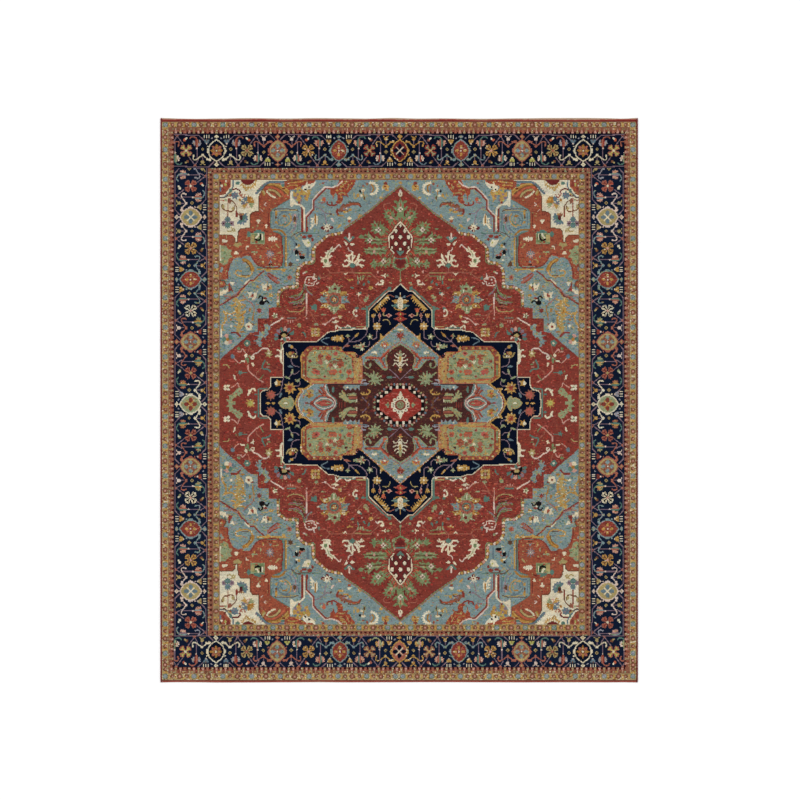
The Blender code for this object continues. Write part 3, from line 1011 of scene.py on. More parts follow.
def green_panel(q):
    """The sage ground of those panels and its flowers."""
    inner = (
        (-57.4, 13.9), (-60, 15.2), (-60.1, 27.6), (-57, 31.9), (-40, 32), (-38, 30.6), (-35, 29.6),
        (-31.2, 26.6), (-30.9, 19), (-29.6, 16.4), (-30.4, 14.2), (-33.4, 15), (-35.6, 12.6), (-38.6, 13.2),
    )
    q.fill("sage", inner)
    q.line("brick", 0.5, ((-60.6, 15), (-60.7, 27.6), (-57.4, 32.3)))
    for x, y, reach, dye in (
        (-51, 27.7, 2.4, "terracotta"), (-46, 27.2, 2.5, "terracotta"), (-51.2, 24.2, 2.1, "salmon"),
        (-38.5, 23.3, 3.1, "terracotta"), (-54.8, 18.4, 2.3, "coral"), (-53.2, 17.8, 2.1, "rose"),
        (-44.9, 22.4, 2.1, "salmon"), (-44.4, 18, 2.1, "coral"), (-42.2, 18, 2.1, "coral"),
        (-38.6, 18.3, 1.4, "coral"), (-41.5, 29.7, 1.8, "rose"), (-32.9, 18, 2.2, "coral"),
        (-57.9, 24.9, 1.3, "brick"), (-42.2, 24.5, 1.7, "russet"), (-48.4, 15.2, 1.1, "rose"),
        (-58.6, 20.8, 0.9, "brick"),
    ):
        star(q.at(x, y, 8 * x), 6, reach, 0.65 * reach, dye)
    spots(
        q, "salmon", (-55.4, 18.6, 1, 0.7), (-43.4, 18.2, 2, 0.8), (-33, 18.8, 0.8, 0.6),
        (-50.8, 28.4, 0.7, 0.5), (-46.4, 27.6, 0.8, 0.5), (-38.8, 24, 1, 0.6),
    )
    for x, y in (
        (-51, 27.7), (-46, 27), (-38.2, 22.8), (-54, 18), (-44.6, 22.2), (-32.7, 17.8), (-41.5, 29.7),
    ):
        strokes(q, "brick", 0.6, ((x - 0.6, y + 0.5), (x, y), (x + 0.6, y + 0.4)))
    strokes(
        q, "gold", 0.7, ((-54.8, 31.2), (-54.8, 28.8)), ((-55.9, 30.2), (-53.8, 30.5)),
        ((-50.6, 31), (-49.6, 29.4)), ((-48.2, 31), (-49, 29.4)), ((-46.6, 30.8), (-47.4, 29.4)),
        ((-53.8, 27.4), (-53.4, 24.8)), ((-46.2, 22.8), (-47, 20.8)), ((-40.8, 26.6), (-38, 27.2)),
    )
    strokes(
        q, "khaki", 0.6, ((-59, 17), (-57.6, 15.4), (-52, 14.8)), ((-45.6, 14.6), (-39.4, 14.9)),
        ((-36, 20.6), (-34.4, 22.8)), ((-36.4, 28.2), (-38.6, 28.8)), ((-59.2, 27.6), (-58.2, 30)),
        ((-57.4, 21.8), (-53, 21.2), (-49.4, 21.7)), ((-43.2, 27.4), (-40.8, 28)),
    )
    strokes(
        q, "umber", 0.5, ((-52.4, 21.6), (-49.6, 20.8)), ((-40.6, 26), (-37.2, 26)),
        ((-36.2, 18.8), (-35.2, 20.6)), ((-46.4, 16.2), (-42, 16.2)), ((-56.4, 20.4), (-53.6, 20.4)),
    )
    for x, y in ((-47.2, 23.4), (-41.7, 20.6)):
        strokes(
            q, "cream", 0.5, ((x, y), (x - 1, y + 1.7)), ((x, y), (x, y + 1.8)),
            ((x, y), (x + 1.1, y + 1.5)),
        )
    spots(
        q, "green", (-42.8, 26.4, 1, 0.5), (-35, 23.8, 0.8, 0.9), (-50, 17, 1.2, 0.5),
        (-37.6, 15.6, 1.4, 1.2), (-59, 19, 0.5, 0.8), (-52.8, 22.6, 0.9, 0.4), (-32.6, 21.6, 0.8, 1.2),
        (-47.6, 18.6, 0.9, 0.8),
    )
    spots(q, "slate", (-42.6, 26.4, 0.6, 0.4), (-34.4, 28, 0.6, 0.5), (-37.4, 15.8, 0.6, 0.7))
    spots(q, "maroon", (-34.8, 26.2, 1.1, 0.45), (-48.4, 15.2, 0.5, 0.4), (-35.2, 26.8, 0.5, 0.5))


def oval_panel(q):
    """The light blue panel at either side of the middle, with its pointed flower."""
    q.fill("sky", (*OVAL_PANEL, (-66, -2.4), (-39.8, -2.4), (-41.8, 1.9), (-44.2, 3.9)))
    q.line("ivory", 0.5, np.add(OVAL_PANEL[1:], (1.5, 0)))
    q.line("brick", 0.6, np.add(OVAL_PANEL[1:], (0.9, 0)))
    q.line("gold", 1, OVAL_PANEL[1:])
    for x, y, dye in (
        (-57.6, 5.8, "gold"), (-59, 3.6, "khaki"), (-55.9, 3.4, "gold"), (-57.4, 2.5, "ochre"),
        (-55.7, 5.6, "khaki"),
    ):
        q.oval(dye, x, y, 1.4, 1.1)
    spots(q, "brown", (-58.6, 2.7, 0.8, 0.5), (-56.6, 5, 0.5, 0.6))
    spots(q, "coral", (-57.4, 4.3, 0.9, 0.6), (-60.8, 2.9, 0.6, 0.5))
    spots(q, "gold", (-61, 1.8, 0.7, 0.6))
    spots(q, "lilac", (-53.6, 7, 1.4, 0.7), (-62.6, 3.4, 0.6, 1.2), (-60, -1.2, 1, 0.5))
    for run in (
        ((-47.4, 9.8), (-48.4, 7.2), (-47.4, 5), (-47.8, 3)), ((-49.8, 8), (-48.7, 6), (-48, 4.4)),
        ((-51.2, 6.4), (-49.8, 4.6), (-48.4, 3)), ((-45.9, 6.2), (-47.2, 3.8)),
        ((-56.2, -1.4), (-54.4, -0.2), (-52.6, 1.4), (-50.6, 2.6), (-48.6, 3), (-46.2, 2.6)),
        ((-46, 2.1), (-44, 1.7), (-42.2, 0.8), (-41, -0.6), (-40.8, -1.9)),
    ):
        strokes(q, "brick", 1.2, run)
        strokes(q, "salmon", 0.5, np.array(run) + (0.3, 0.4))
    spots(q, "coral", (-51, 2.6, 0.6, 0.6), (-47.6, 3.2, 0.8, 0.7))
    bud = smooth(((-54.2, -1.9), (-51.6, 0.2), (-48.4, 1.2), (-44.8, 0.7), (-42.4, -0.8), (-41.7, -1.9)))
    q.fill("teal", (*bud, (-41.8, -2.4), (-54, -2.4)))
    q.line("blush", 0.5, bud)
    heart = smooth(((-53, -1.9), (-50.4, -0.4), (-47.4, 0.1), (-44.2, -0.6), (-42.8, -1.9)))
    q.fill("rose", (*heart, (-42.8, -2.4), (-53, -2.4)))
    q.line("brick", 0.5, smooth(((-51.4, -1.9), (-48.6, -0.8), (-45.2, -1), (-43.8, -1.9))))
    spots(q, "sage", (-45.6, -1.9, 1.6, 0.4))
    strokes(q, "brick", 0.9, ((-59.7, -1.9), (-58.4, -1.9)), ((-56.8, -1.9), (-54.8, -1.7)))
    q.line("umber", 0.6, ((-58.2, -1.9), (-57, -1.9)))
    q.line("teal", 0.5, smooth(CARTOUCHE[-6:]))
    q.line("blush", 0.5, smooth(np.subtract(CARTOUCHE[-6:], (0.8, 0.3))))


def middle_ground(q):
    """The light blue diamond and the maroon cartouche about the middle of the medallion."""
    q.fill("sky", quarter(DIAMOND))
    q.line("salmon", 0.8, DIAMOND[:3])
    beads(q, DIAMOND[:3], 1.2, ("gold", "blush", "gold"), 0.45)
    q.fill("gold", ((-12, 43), (-11, 41.4), (-9.4, 40.4), (-10.4, 38.8), (-12.2, 38.2)))
    q.fill("maroon", quarter(CARTOUCHE))
    edge = smooth(CARTOUCHE[:10])
    q.line("salmon", 0.5, smooth(np.add(CARTOUCHE[:6], (-0.6, 0.9))))
    q.line("sage", 0.7, edge)
    scroll = (
        (-15.4, 25), (-16.8, 26.2), (-18.8, 26.5), (-20.8, 25.6), (-22, 23.4), (-21.4, 21.3), (-19.6, 20.5),
        (-18.3, 21.6),
    )
    strokes(q, "sage", 0.7, scroll)
    q.oval("sage", -18.5, 22.8, 0.8, 1.2)
    for x, y, turn, length in ((-22, 27, -90, 11.2), (-11.6, 26.8, -48, 7.2), (-12.6, 27.6, -151, 7)):
        serrated(q.at(x, y, turn), length, 2.2, 6, "brick")
    strokes(
        q, "coral", 0.6, ((-20.6, 27), (-16, 27.2), (-12.4, 27), (-9.6, 29.4), (-6.6, 32.4)),
        ((-12.2, 26.4), (-10.6, 23.2), (-9, 21.2)),
    )
    spots(q, "coral", (-9.1, 20.9, 1.3, 0.7), (-12.4, 26.8, 0.9, 0.8), (-10, 29.4, 0.7, 0.7))
    spots(q, "teal", (-9.4, 25.6, 0.6, 1.4), (-12, 29.8, 0.8, 0.5))
    spots(q, "salmon", (-10.9, 24.6, 0.6, 0.5), (-17.8, 27.6, 0.7, 0.4), (-13.4, 24.8, 0.5, 0.5))
    q.oval("ivory", 0.8, 45, 1.9, 0.9)
    q.line("khaki", 0.5, ((-1, 44.4), (0.8, 44.4)))
    shapes(q, "brick", (
        (0.8, 44), (-0.2, 42.8), (-1.8, 43.6), (-0.8, 42.2), (-2.2, 41.2), (-0.8, 41), (-1.6, 39.6),
        (-0.1, 40), (0.8, 37.6),
    ))
    spots(q, "salmon", (0.8, 41.8, 0.5, 0.6), (0.8, 39.4, 0.4, 0.8))
    q.oval("lilac", 0.8, 43, 0.5, 0.4)
    strokes(q, "gold", 0.8, smooth(((-11.7, 34.8), (-11, 36.6), (-9.3, 37.4), (-7.6, 36.6), (-6.9, 34.8))))
    spots(q, "coral", (-10.6, 35.5, 0.7, 0.8), (-9.3, 36.3, 0.8, 0.6), (-8, 35.5, 0.7, 0.8))
    spots(q, "salmon", (-9.3, 33.2, 0.5, 0.9), (-10.4, 34, 0.5, 0.5), (-8.2, 34, 0.5, 0.5))
    spots(q, "ivory", (-9.3, 34.7, 0.7, 0.6))
    spots(q, "brick", (-9.3, 35.5, 0.4, 0.3))
    spots(q, "cream", (-16.8, 30.6, 1.1, 0.6), (-14.8, 30.4, 0.8, 0.9), (-15.8, 31.2, 0.5, 0.5))
    spots(q, "sage", (-15.4, 29.2, 1.2, 0.4))
    strokes(
        q, "cream", 0.6, ((-0.6, 27), (-1.8, 27.4), (-2.9, 28.6)), ((-0.6, 25), (-2.2, 25.2), (-3.6, 26)),
        ((0.4, 20.9), (-0.8, 22.6), (-2.2, 23.6), (-3.2, 23.2), (-3.6, 22.2)), ((-0.2, 29), (-1.6, 29.8)),
    )
    serrated(q.at(0.8, 22), 9.4, 3.6, 5, "cream")
    serrated(q.at(0.8, 26.4), 5.2, 2.8, 3, "sage")
    spots(q, "gold", (0.8, 26.2, 0.9, 2))
    star(q.at(0.8, 19.4), 4, 1.9, 0.9, "gold")
    spots(q, "coral", (0.8, 18.3, 0.7, 0.8))
    strokes(q, "mauve", 0.5, ((-6.5, 20), (-3.4, 17.4), (0.8, 13.2)))
    spots(q, "teal", (-6, 14.6, 1.9, 0.9))
    q.line("mauve", 0.5, ((-4, 14.6), (-2, 14.9)))


def cartouche_leaves(q):
    """The sage branches, the scalloped edge and the small leaves on the maroon ground."""
    for turn, length in (
        (54, 7.8), (30, 4.4), (5, 5.2), (-26, 4.8), (-62, 5.2), (-95, 5.4), (-130, 4.8), (-170, 4),
        (150, 3.8), (110, 3.8),
    ):
        serrated(q.at(-15.8, 13.2, turn), length, 1.9, 4, "sage")
    q.oval("sage", -15.6, 13, 2, 1.3)
    strokes(q, "green", 0.5, ((-20.4, 16.4), (-17.4, 14.2), (-14, 13), (-11.8, 13.2)))
    strokes(
        q, "lilac", 0.7, ((-24, 10.8), (-23.4, 12.8), (-21.6, 12.9)),
        ((-23.8, 10.5), (-21.4, 10.9), (-19.6, 10.4)),
    )
    q.line("slate", 0.6, ((-25, 9.7), (-20.6, 9.9)))
    crown = (
        (-36.2, 8.4), (-34.8, 9.6), (-25, 9.6), (-25.4, 6.4), (-26.8, 8.2), (-28, 6.2), (-29.4, 8),
        (-31, 6.1), (-32.4, 7.7), (-34, 6.3),
    )
    q.fill("sky", crown)
    spots(q, "slate", *((x, 9, 0.5, 0.4) for x in (-26.6, -29.4, -31.8, -34.6)))
    spots(q, "lilac", *((x, 7.2, 0.4, 0.8) for x in (-25.6, -28, -31, -34)))
    spots(q, "ivory", (-33.1, 8.2, 0.6, 0.5))
    strokes(q, "gold", 0.9, (
        (-24.3, 4.5), (-22.6, 3.6), (-20.6, 3.6), (-18.9, 4.7), (-18.7, 6), (-19.9, 6.7),
    ))
    strokes(q, "gold", 0.6, ((-22.8, 3.8), (-22.3, 5)), ((-21.2, 3.8), (-20.8, 4.7)))
    strokes(q, "plum", 0.5, ((-23.6, 2), (-18.8, -3)))
    for x, y, turn, length, width in (
        (-31.6, -0.6, 53, 8, 3.2), (-33.6, 1.4, 80, 4.8, 2.2), (-34.4, 2.2, 27, 4.4, 2.2),
        (-30.4, -1, 78, 4.6, 2.2),
    ):
        serrated(q.at(x, y, turn), length, width, 4, "sage", "khaki")
    spots(q, "sage", (-31.4, 3.6, 1.4, 0.9), (-28.9, 3.8, 1.5, 0.9), (-32.8, 3.2, 0.6, 0.5))
    q.box("salmon", -32.2, 1, -26.9, 2.2)
    q.line("brick", 0.5, ((-32.2, 1.6), (-27.2, 1.6)))
    comb(q.at(-27, -0.2, 180), 5.2, 1.6, 4, "sage")
    q.box("sage", -32, -0.4, -27, 0.5)
    q.line("cream", 0.5, ((-27, 0.6), (-27, -1.2)))
    q.line("khaki", 0.5, ((-32.2, 3.1), (-27.6, 3.1)))
    spots(q, "umber", (-23.6, 0.4, 1.4, 0.6), (-21, 1.4, 0.9, 0.8), (-19.8, -1.4, 0.9, 0.7))
    spots(q, "teal", (-42.2, 6.8, 0.8, 2.1))
    for x in (-38.2, -36.6, -34.8):
        q.line("brick", 0.5, ((x, -1.6), (x, -3)))


def hexagon(core):
    """The red middle of the medallion: rings of beads and of squares about an ivory flower."""
    beads(core, BEAD_RING, 1.9, ("sage", "pink", "slate", "salmon"), 0.7, 0.7)
    core.line("black", 2.1, SQUARE_RING)
    core.fill("madder", quarter(RED_HEXAGON, (0, 0)))
    strokes(
        core, "brick", 0.5, ((-6, 7.8), (-2.2, 7.9)), ((-11.8, 2.6), (-8.4, 2.4)),
        ((-9.8, 4.6), (-6.6, 4.4)),
    )
    for i, (x, y) in enumerate(spaced(SQUARE_RING, 2.05)):
        if i % 2:
            core.box("ivory" if i % 4 == 1 else "blush", x - 0.8, y - 0.9, x + 0.8, y + 0.9)
    petals = [(math.cos(math.radians(turn)), math.sin(math.radians(turn))) for turn in (10, 43, 77)]
    for x, y in petals:
        core.oval("ivory", -4.8 * x, 4.6 * y, 1.25)
    core.oval("ivory", 0, 0, 4.8, 4.6)
    spots(core, "ivory", (0, 6.6, 1.1, 1.3), (0, 8.2, 0.5, 0.6))
    core.oval("brick", 0, 0, 3.6, 3.4)
    core.oval("russet", 0, 0, 2.8, 2.8)
    core.oval("sage", 0, 0, 2.2, 2.3)
    for x, y in petals:
        core.oval("black", -4.7 * x, 4.5 * y, 0.5, 0.45)
    spots(core, "umber", (-0.9, 0.6, 0.5, 0.4), (-1.7, 0, 0.3, 0.4), (0, 1.4, 0.5, 0.3))
    spots(core, "green", (-1.4, 1, 0.4, 0.4), (0, 0, 0.5, 0.4))
    spots(core, "sage", (-8.2, 0, 1.7, 0.6), (-8, 0, 0.7, 2))
    spots(core, "teal", (-8, 0, 0.4, 0.6))


def medallion(q, inner):
    """The navy medallion in the middle of the field. The pen inner draws its middlemost figures."""
    strokes(q, "teal", 1, ((-6.6, 70.9), (-8.8, 69.6), (-19.6, 59.6)), ((-28, 46.3), (-38.4, 46)))
    q.line("teal", 1.6, ((-20.6, 59.4), (-20.4, 47.2)))
    strokes(
        q, "ivory", 0.9, ((-40.6, 45.6), (-40, 47.9), (-38.8, 47), (-37.4, 46.2)),
        ((-34.6, 46.6), (-32.6, 47.6), (-31, 46.8)), ((-29.4, 46), (-28.2, 45.4)),
        ((-22.6, 45.8), (-21.4, 46.4)),
    )
    strokes(q, "khaki", 0.7, ((-26.8, 46.9), (-21.4, 46.9)))
    strokes(q, "teal", 1, ((-89.8, 6.8), (-89.9, -1.9)), ((-88.6, 7.4), (-84.4, 7.6)))
    q.line("sage", 1, ((-75.2, 36.8), (-75.2, 32.8)))
    q.fill("navy", quarter(MEDALLION))
    q.line("cream", 0.5, MEDALLION)
    medallion_vines(q)
    medallion_crown(q)
    medallion_blossoms(q)
    medallion_side(q)
    middle_ground(q)
    green_panel_edge(q.at(1, 0))
    green_panel(q.at(1, 0))
    oval_panel(q)
    cartouche_leaves(inner)
    hexagon(inner.at(MIDDLE_X, HEXAGON_Y))


def rosette(pen, dyes, heart):
    """Four pale knots about a dark one."""
    for turn in AXES:
        pen.at(0, 0, turn).oval(dyes, 0, 1.05, 0.62, 0.62)
    pen.oval(heart, 0, 0, 0.5)


def palmette_leaves(q):
    """The serrated leaves of the great palmette."""
    shapes(
        q, "green",
        (
            (0.8, 129.4), (-0.1, 127.4), (-0.7, 126.6), (-2, 127.6), (-3.9, 127.5), (-2.8, 126.2),
            (-1.4, 125), (-1.3, 122.6), (-2.4, 123.3), (-4.2, 124.2), (-3.2, 122), (-1.2, 120.4),
            (-1.4, 117.6), (-2.3, 116.9), (-2.6, 119.6), (-3.4, 118.6), (-3.8, 121.4), (-4.6, 119.8),
            (-5.4, 122.8), (-6, 120.8), (-7.4, 122.9), (-7.6, 120.6), (-9.6, 121.5), (-8.8, 119.6),
            (-10.8, 119.4), (-8.8, 118), (-9.8, 116.6), (-7.6, 116.6), (-8.4, 115), (-6.6, 115),
            (-7.4, 113.2), (-6, 113.2), (-6.7, 110.4), (-5.2, 112.2), (-3.9, 114.8), (-1.6, 115.6),
            (0.8, 116.4),
        ),
        (
            (-11.8, 114.6), (-12.2, 112.2), (-13.4, 114.6), (-14.2, 112.8), (-16.4, 115.2), (-16, 113),
            (-18.9, 113), (-17, 111.4), (-18.6, 109.8), (-16.4, 109.8), (-18.2, 107.8), (-15.8, 108),
            (-16, 106), (-13.6, 106.8), (-11.8, 105), (-9.8, 104.8), (-8.2, 106), (-9.6, 107),
            (-7.4, 108.8), (-9.4, 109.2), (-8.4, 111), (-10.2, 110.6), (-9.6, 112.8), (-11.2, 111.6),
        ),
        (
            (-19.4, 107.8), (-18.2, 105.6), (-16.8, 105.8), (-16.6, 103.8), (-14.4, 104.8), (-12.8, 103.2),
            (-10.2, 103.2), (-9.6, 101.2), (-11.6, 100.8), (-9.8, 99.2), (-12.6, 99.6), (-13.4, 98.4),
            (-15.2, 100.4), (-17.4, 99.2), (-18.2, 100.8), (-20.8, 99.6), (-20.2, 101.2), (-22.4, 101.4),
            (-20.8, 102.6), (-22.8, 103.4), (-24.6, 103), (-26.4, 104), (-24.4, 105.8), (-22.6, 104.8),
            (-21.4, 106.2), (-20.4, 105.2),
        ),
        (
            (-8.6, 97.4), (-10.6, 98.4), (-11.4, 96.8), (-13, 98.6), (-13.8, 97), (-16, 98.2),
            (-16.6, 96.8), (-19.4, 97.8), (-19.6, 96.4), (-22.8, 97.2), (-21.6, 95.6), (-23.2, 94.6),
            (-20.6, 94.6), (-21.4, 93), (-18.6, 93.8), (-17.8, 92.2), (-16.2, 93.8), (-14.6, 92.4),
            (-13.8, 93.8), (-11.6, 92), (-10.8, 93.6), (-8.4, 93.2), (-7.8, 95.6),
        ),
        (
            (-11.8, 92.6), (-10.6, 90.8), (-8.6, 92), (-8, 90.4), (-5.8, 91.6), (-4.8, 89.6), (-5.4, 88),
            (-4, 87.2), (-6.2, 86.6), (-6, 84.8), (-7.8, 86.2), (-8.8, 83.8), (-9.8, 86.2), (-11.6, 84),
            (-11.8, 86.2), (-14, 84.8), (-13, 87), (-14.8, 87.4), (-12, 88.4), (-10.2, 88.6), (-11, 90.2),
        ),
        (
            (-16.2, 90.8), (-16.8, 88.4), (-19.4, 87), (-17.2, 86.6), (-17.8, 84.4), (-16.2, 85.4),
            (-15.6, 83.2), (-14.6, 85.8), (-13, 86.2), (-14.6, 87.6), (-13.6, 89.8), (-15.2, 89),
        ),
    )
    strokes(
        q, "sage", 0.7, ((-2.4, 115), (-6.2, 117.2), (-8, 119.6)),
        ((-10, 106.4), (-13.4, 110.8), (-15.6, 113.4)), ((-12, 102.4), (-16.4, 103), (-19.6, 106)),
        ((-8.8, 96.8), (-15, 96.6), (-20.6, 96.2)), ((-10, 93.8), (-17.6, 93.8), (-21.4, 94.6)),
        ((0.2, 120), (0, 124), (0.2, 127.6)), ((-7, 90.4), (-8.6, 88.2), (-11.6, 85.8)),
    )
    strokes(
        q, "brick", 0.6, ((-4.6, 116.8), (-5.8, 118.4)), ((-11, 107.6), (-12.6, 110)),
        ((-13, 101.6), (-17.6, 101.8)), ((-6.8, 88.6), (-9.4, 87)),
    )


def great_palmette(q):
    """The palmette on the middle line, with pale seeds on a maroon heart."""
    palmette_leaves(q)
    middle = np.array((0.8, 101.6))
    rim = spaced(
        smooth((
            (0.8, 114.9), (-2.4, 112.3), (-5.2, 108.2), (-7.8, 104.8), (-7.6, 97.4), (-4.8, 93.4),
            (-1.4, 91.2),
        )),
        1,
    )
    for i, place in enumerate(rim):
        out = (place - middle) / np.linalg.norm(place - middle)
        reach = (3.6, 2.2, 3, 1.8)[i % 4]
        q.line(
            ("green", "salmon", "green", "terracotta", "coral")[i % 5], 0.6, (place, place + reach * out),
        )
    spots(
        q, "terracotta", (-6.3, 119.3, 1.3, 1.2), (0.8, 124.6, 0.5, 2), (-15.2, 111.7, 0.8, 0.9),
        (-13.4, 88.6, 1.6, 0.8),
    )
    spots(q, "oxblood", (-2, 119, 0.6, 1.9), (-21.2, 104.2, 1.4, 0.6), (-6.4, 119, 0.6, 0.5))
    strokes(q, "oxblood", 1, ((-18.6, 106.8), (-15.6, 103.8)))
    strokes(
        q, "brown", 0.6, ((-21.2, 95.3), (-15, 95.4), (-9.2, 95)), ((-9.4, 88.6), (-5.4, 92.6)),
        ((-19.8, 101.6), (-10.6, 101.4)),
    )
    heart = (
        (0.8, 113.9), (-1.4, 111.7), (-3.8, 108), (-6.3, 105), (-6.6, 101.6), (-6.3, 97.4), (-4.6, 94.6),
        (-2.6, 92.8), (0.8, 91.4),
    )
    q.fill("oxblood", quarter(heart))
    for x, y in (
        (0.8, 111.4), (-2, 108.2), (0.8, 104.2), (-4.6, 104.2), (-2, 100.1), (0.8, 96.4), (-4.4, 97),
    ):
        lozenge(q, x, y, 1.9, 2.6, "maroon")
    strokes(
        q, "cream", 0.7, heart[:5], ((-6.5, 102.6), (-6.2, 97.6)),
        ((-5.3, 96.4), (-4.2, 95.2), (-3.2, 93.6)),
    )
    spots(
        q, "ivory", (0.8, 111.6, 0.6, 1.1), (-2, 108.2, 0.85, 1.4), (-4.4, 104.2, 1.1, 1.3),
        (0.8, 104.2, 1.1, 1.3), (-2, 100.1, 1, 1.3), (-4.4, 97.4, 0.6, 0.8), (0.8, 96.4, 0.7, 1),
    )
    shapes(q, "teal", ((-1.8, 95.8), (0.8, 94.8), (1.6, 94.8), (0.8, 92.2), (-1, 94)))
    strokes(q, "brick", 1.5, ((-2.8, 93.2), (-1.6, 91.6), (0.8, 91.2)))
    q.line("teal", 0.8, ((-2.8, 90.6), (0.8, 90.2)))
    q.line("oxblood", 0.6, ((-2.8, 89.5), (0.8, 89.4)))
    shapes(q, "oxblood", ((-2.4, 89), (0.8, 89), (0.8, 84.6), (-1.4, 86.6)))
    strokes(
        q, "green", 1.3, ((-3.2, 89.6), (-3.6, 87.4), (-2.4, 86.2)), ((-4, 86), (-2.6, 84.8), (0.4, 83.2)),
    )
    spots(q, "sage", (-3.6, 85.6, 1.2, 0.8), (0.8, 76.6, 0.7, 1), (-3, 90.6, 0.7, 0.8))
    q.line("green", 0.6, ((0.8, 83.4), (0.8, 78)))
    rosette(q.at(0.8, 121.8), "blush", "brown")
    for x, y in ((-13.3, 108.8), (-18.8, 102.2), (-10, 88.8)):
        rosette(q.at(x, y), "blush", "brown")
    spots(q, "pink", (-5, 116.5, 0.9, 0.9), (-15.9, 94.9, 0.9, 0.9), (-3, 91.4, 0.7, 0.5))
    strokes(q, "salmon", 0.5, ((-8.4, 121.4), (-9.8, 123.4), (-9, 125.2), (-5.6, 125.6)))
    spots(q, "cream", (0.8, 131.6, 1.5, 1.7))
    spots(q, "brown", (0.8, 131.4, 0.4, 0.5))
    spots(q, "blush", (0.8, 133.5, 0.7, 0.9))


def star_flower(q):
    """The flower with flame-shaped petals in each quarter of the red field."""
    q = q.at(-41.5, 64.3)
    shapes(
        q, "gold",
        ((-4, 1.6), (-3, 5), (-5.2, 5), (-6, 6.6), (-6.8, 5), (-8.9, 4.3), (-7.2, 3.2), (-5.6, 2.4)),
        ((3.4, 2), (4, 4.8), (6.4, 5.2), (8.2, 5.2), (8, 4), (9.8, 3), (7.4, 2.8), (5.4, 1.8)),
        (
            (-2.8, -3), (-4.6, -2.4), (-7, -2.8), (-8, -3.8), (-9.1, -5.6), (-6.6, -5), (-4.6, -5.6),
            (-2.8, -5.2),
        ),
        ((3, -3), (5, -2.6), (6.6, -3.6), (6.8, -5), (7.8, -6.8), (5.4, -5.6), (3.4, -5.6)),
    )
    shapes(
        q, "sage",
        (
            (-3.2, 2.4), (-4, 5.2), (-3.2, 6.4), (-4.2, 7.8), (-5.6, 8.7), (-3.2, 8.4), (-2, 7.6),
            (-1.4, 9), (-0.4, 9.6), (0.2, 11), (1.2, 9.4), (2, 8.8), (2.9, 10.2), (2.9, 8.4), (4.6, 9.2),
            (3.6, 7), (4.4, 5), (3, 2.8),
        ),
        (
            (-3.4, -3.4), (-4, -6), (-2.4, -6.6), (-1.8, -8.4), (-0.1, -9.3), (1.2, -8.4), (1.8, -6.8),
            (3.5, -6.4), (3, -3.4),
        ),
    )
    shapes(
        q, "sky",
        (
            (-4, 2.2), (-6.2, 1.7), (-8.4, 1.9), (-8.8, 0.7), (-11, -0.2), (-9.2, -1), (-7.6, -2.3),
            (-6.2, -1.9), (-4.2, -2),
        ),
        (
            (4.2, 1.8), (6.4, 2.4), (8.6, 2), (8.2, 0.7), (9, -0.6), (10.4, -2.3), (7.8, -2), (6.2, -2.6),
            (4.2, -2),
        ),
    )
    strokes(
        q, "slate", 0.5, ((-5.6, 0.6), (-8.6, 0.4)), ((6.6, 1.4), (8.2, 0.6)), ((6.4, -1.2), (8.8, -1.8)),
    )
    strokes(
        q, "umber", 0.5, ((4.8, 2.8), (8.2, 3.2)), ((-4.4, -4), (-7.6, -4.4)), ((4.4, -4.2), (6.2, -5.8)),
        ((-4.4, 3.2), (-6.4, 4.2)),
    )
    strokes(
        q, "green", 0.5, ((-2.4, 4.8), (-2.8, 6.6)), ((2.8, 4.8), (3.2, 6.8)), ((-1.5, -4.8), (-1.4, -7)),
        ((1.2, -4.8), (1.1, -7.4)),
    )
    strokes(q, "ivory", 0.5, ((-0.2, -5.2), (-0.3, -8)), ((2, 4.4), (2.2, 6)))
    spots(
        q, "cream", (-5.9, -3.9, 0.6, 0.6), (-10.2, -0.1, 0.7, 0.4), (-3, 7.7, 0.5, 0.4),
        (-2.8, -5.5, 0.4, 0.6),
    )
    spots(q, "coral", (-5.9, 5.4, 0.5, 0.5), (6.8, -0.1, 0.5, 0.5), (-4, 3.8, 0.5, 0.4))
    spots(q, "teal", (-6.3, 2.6, 0.9, 0.5), (7.2, 1.5, 0.6, 0.4))
    q.oval("oxblood", 0.5, 6.9, 1.1, 1)
    q.oval("salmon", 0, 0, 4.9, 4.5)
    for i in range(9):
        turn = math.radians(40 * i + 20)
        q.line("brick", 0.5, (
            (3.4 * math.cos(turn), 3.2 * math.sin(turn)), (4.7 * math.cos(turn), 4.4 * math.sin(turn)),
        ))
    q.oval("umber", 0, 0, 3.1, 3)
    q.oval("teal", 0, 0, 2.8, 2.7)
    q.oval("brick", 0, 0, 2.1, 2)
    star(q, 5, 1.9, 0.9, "gold")


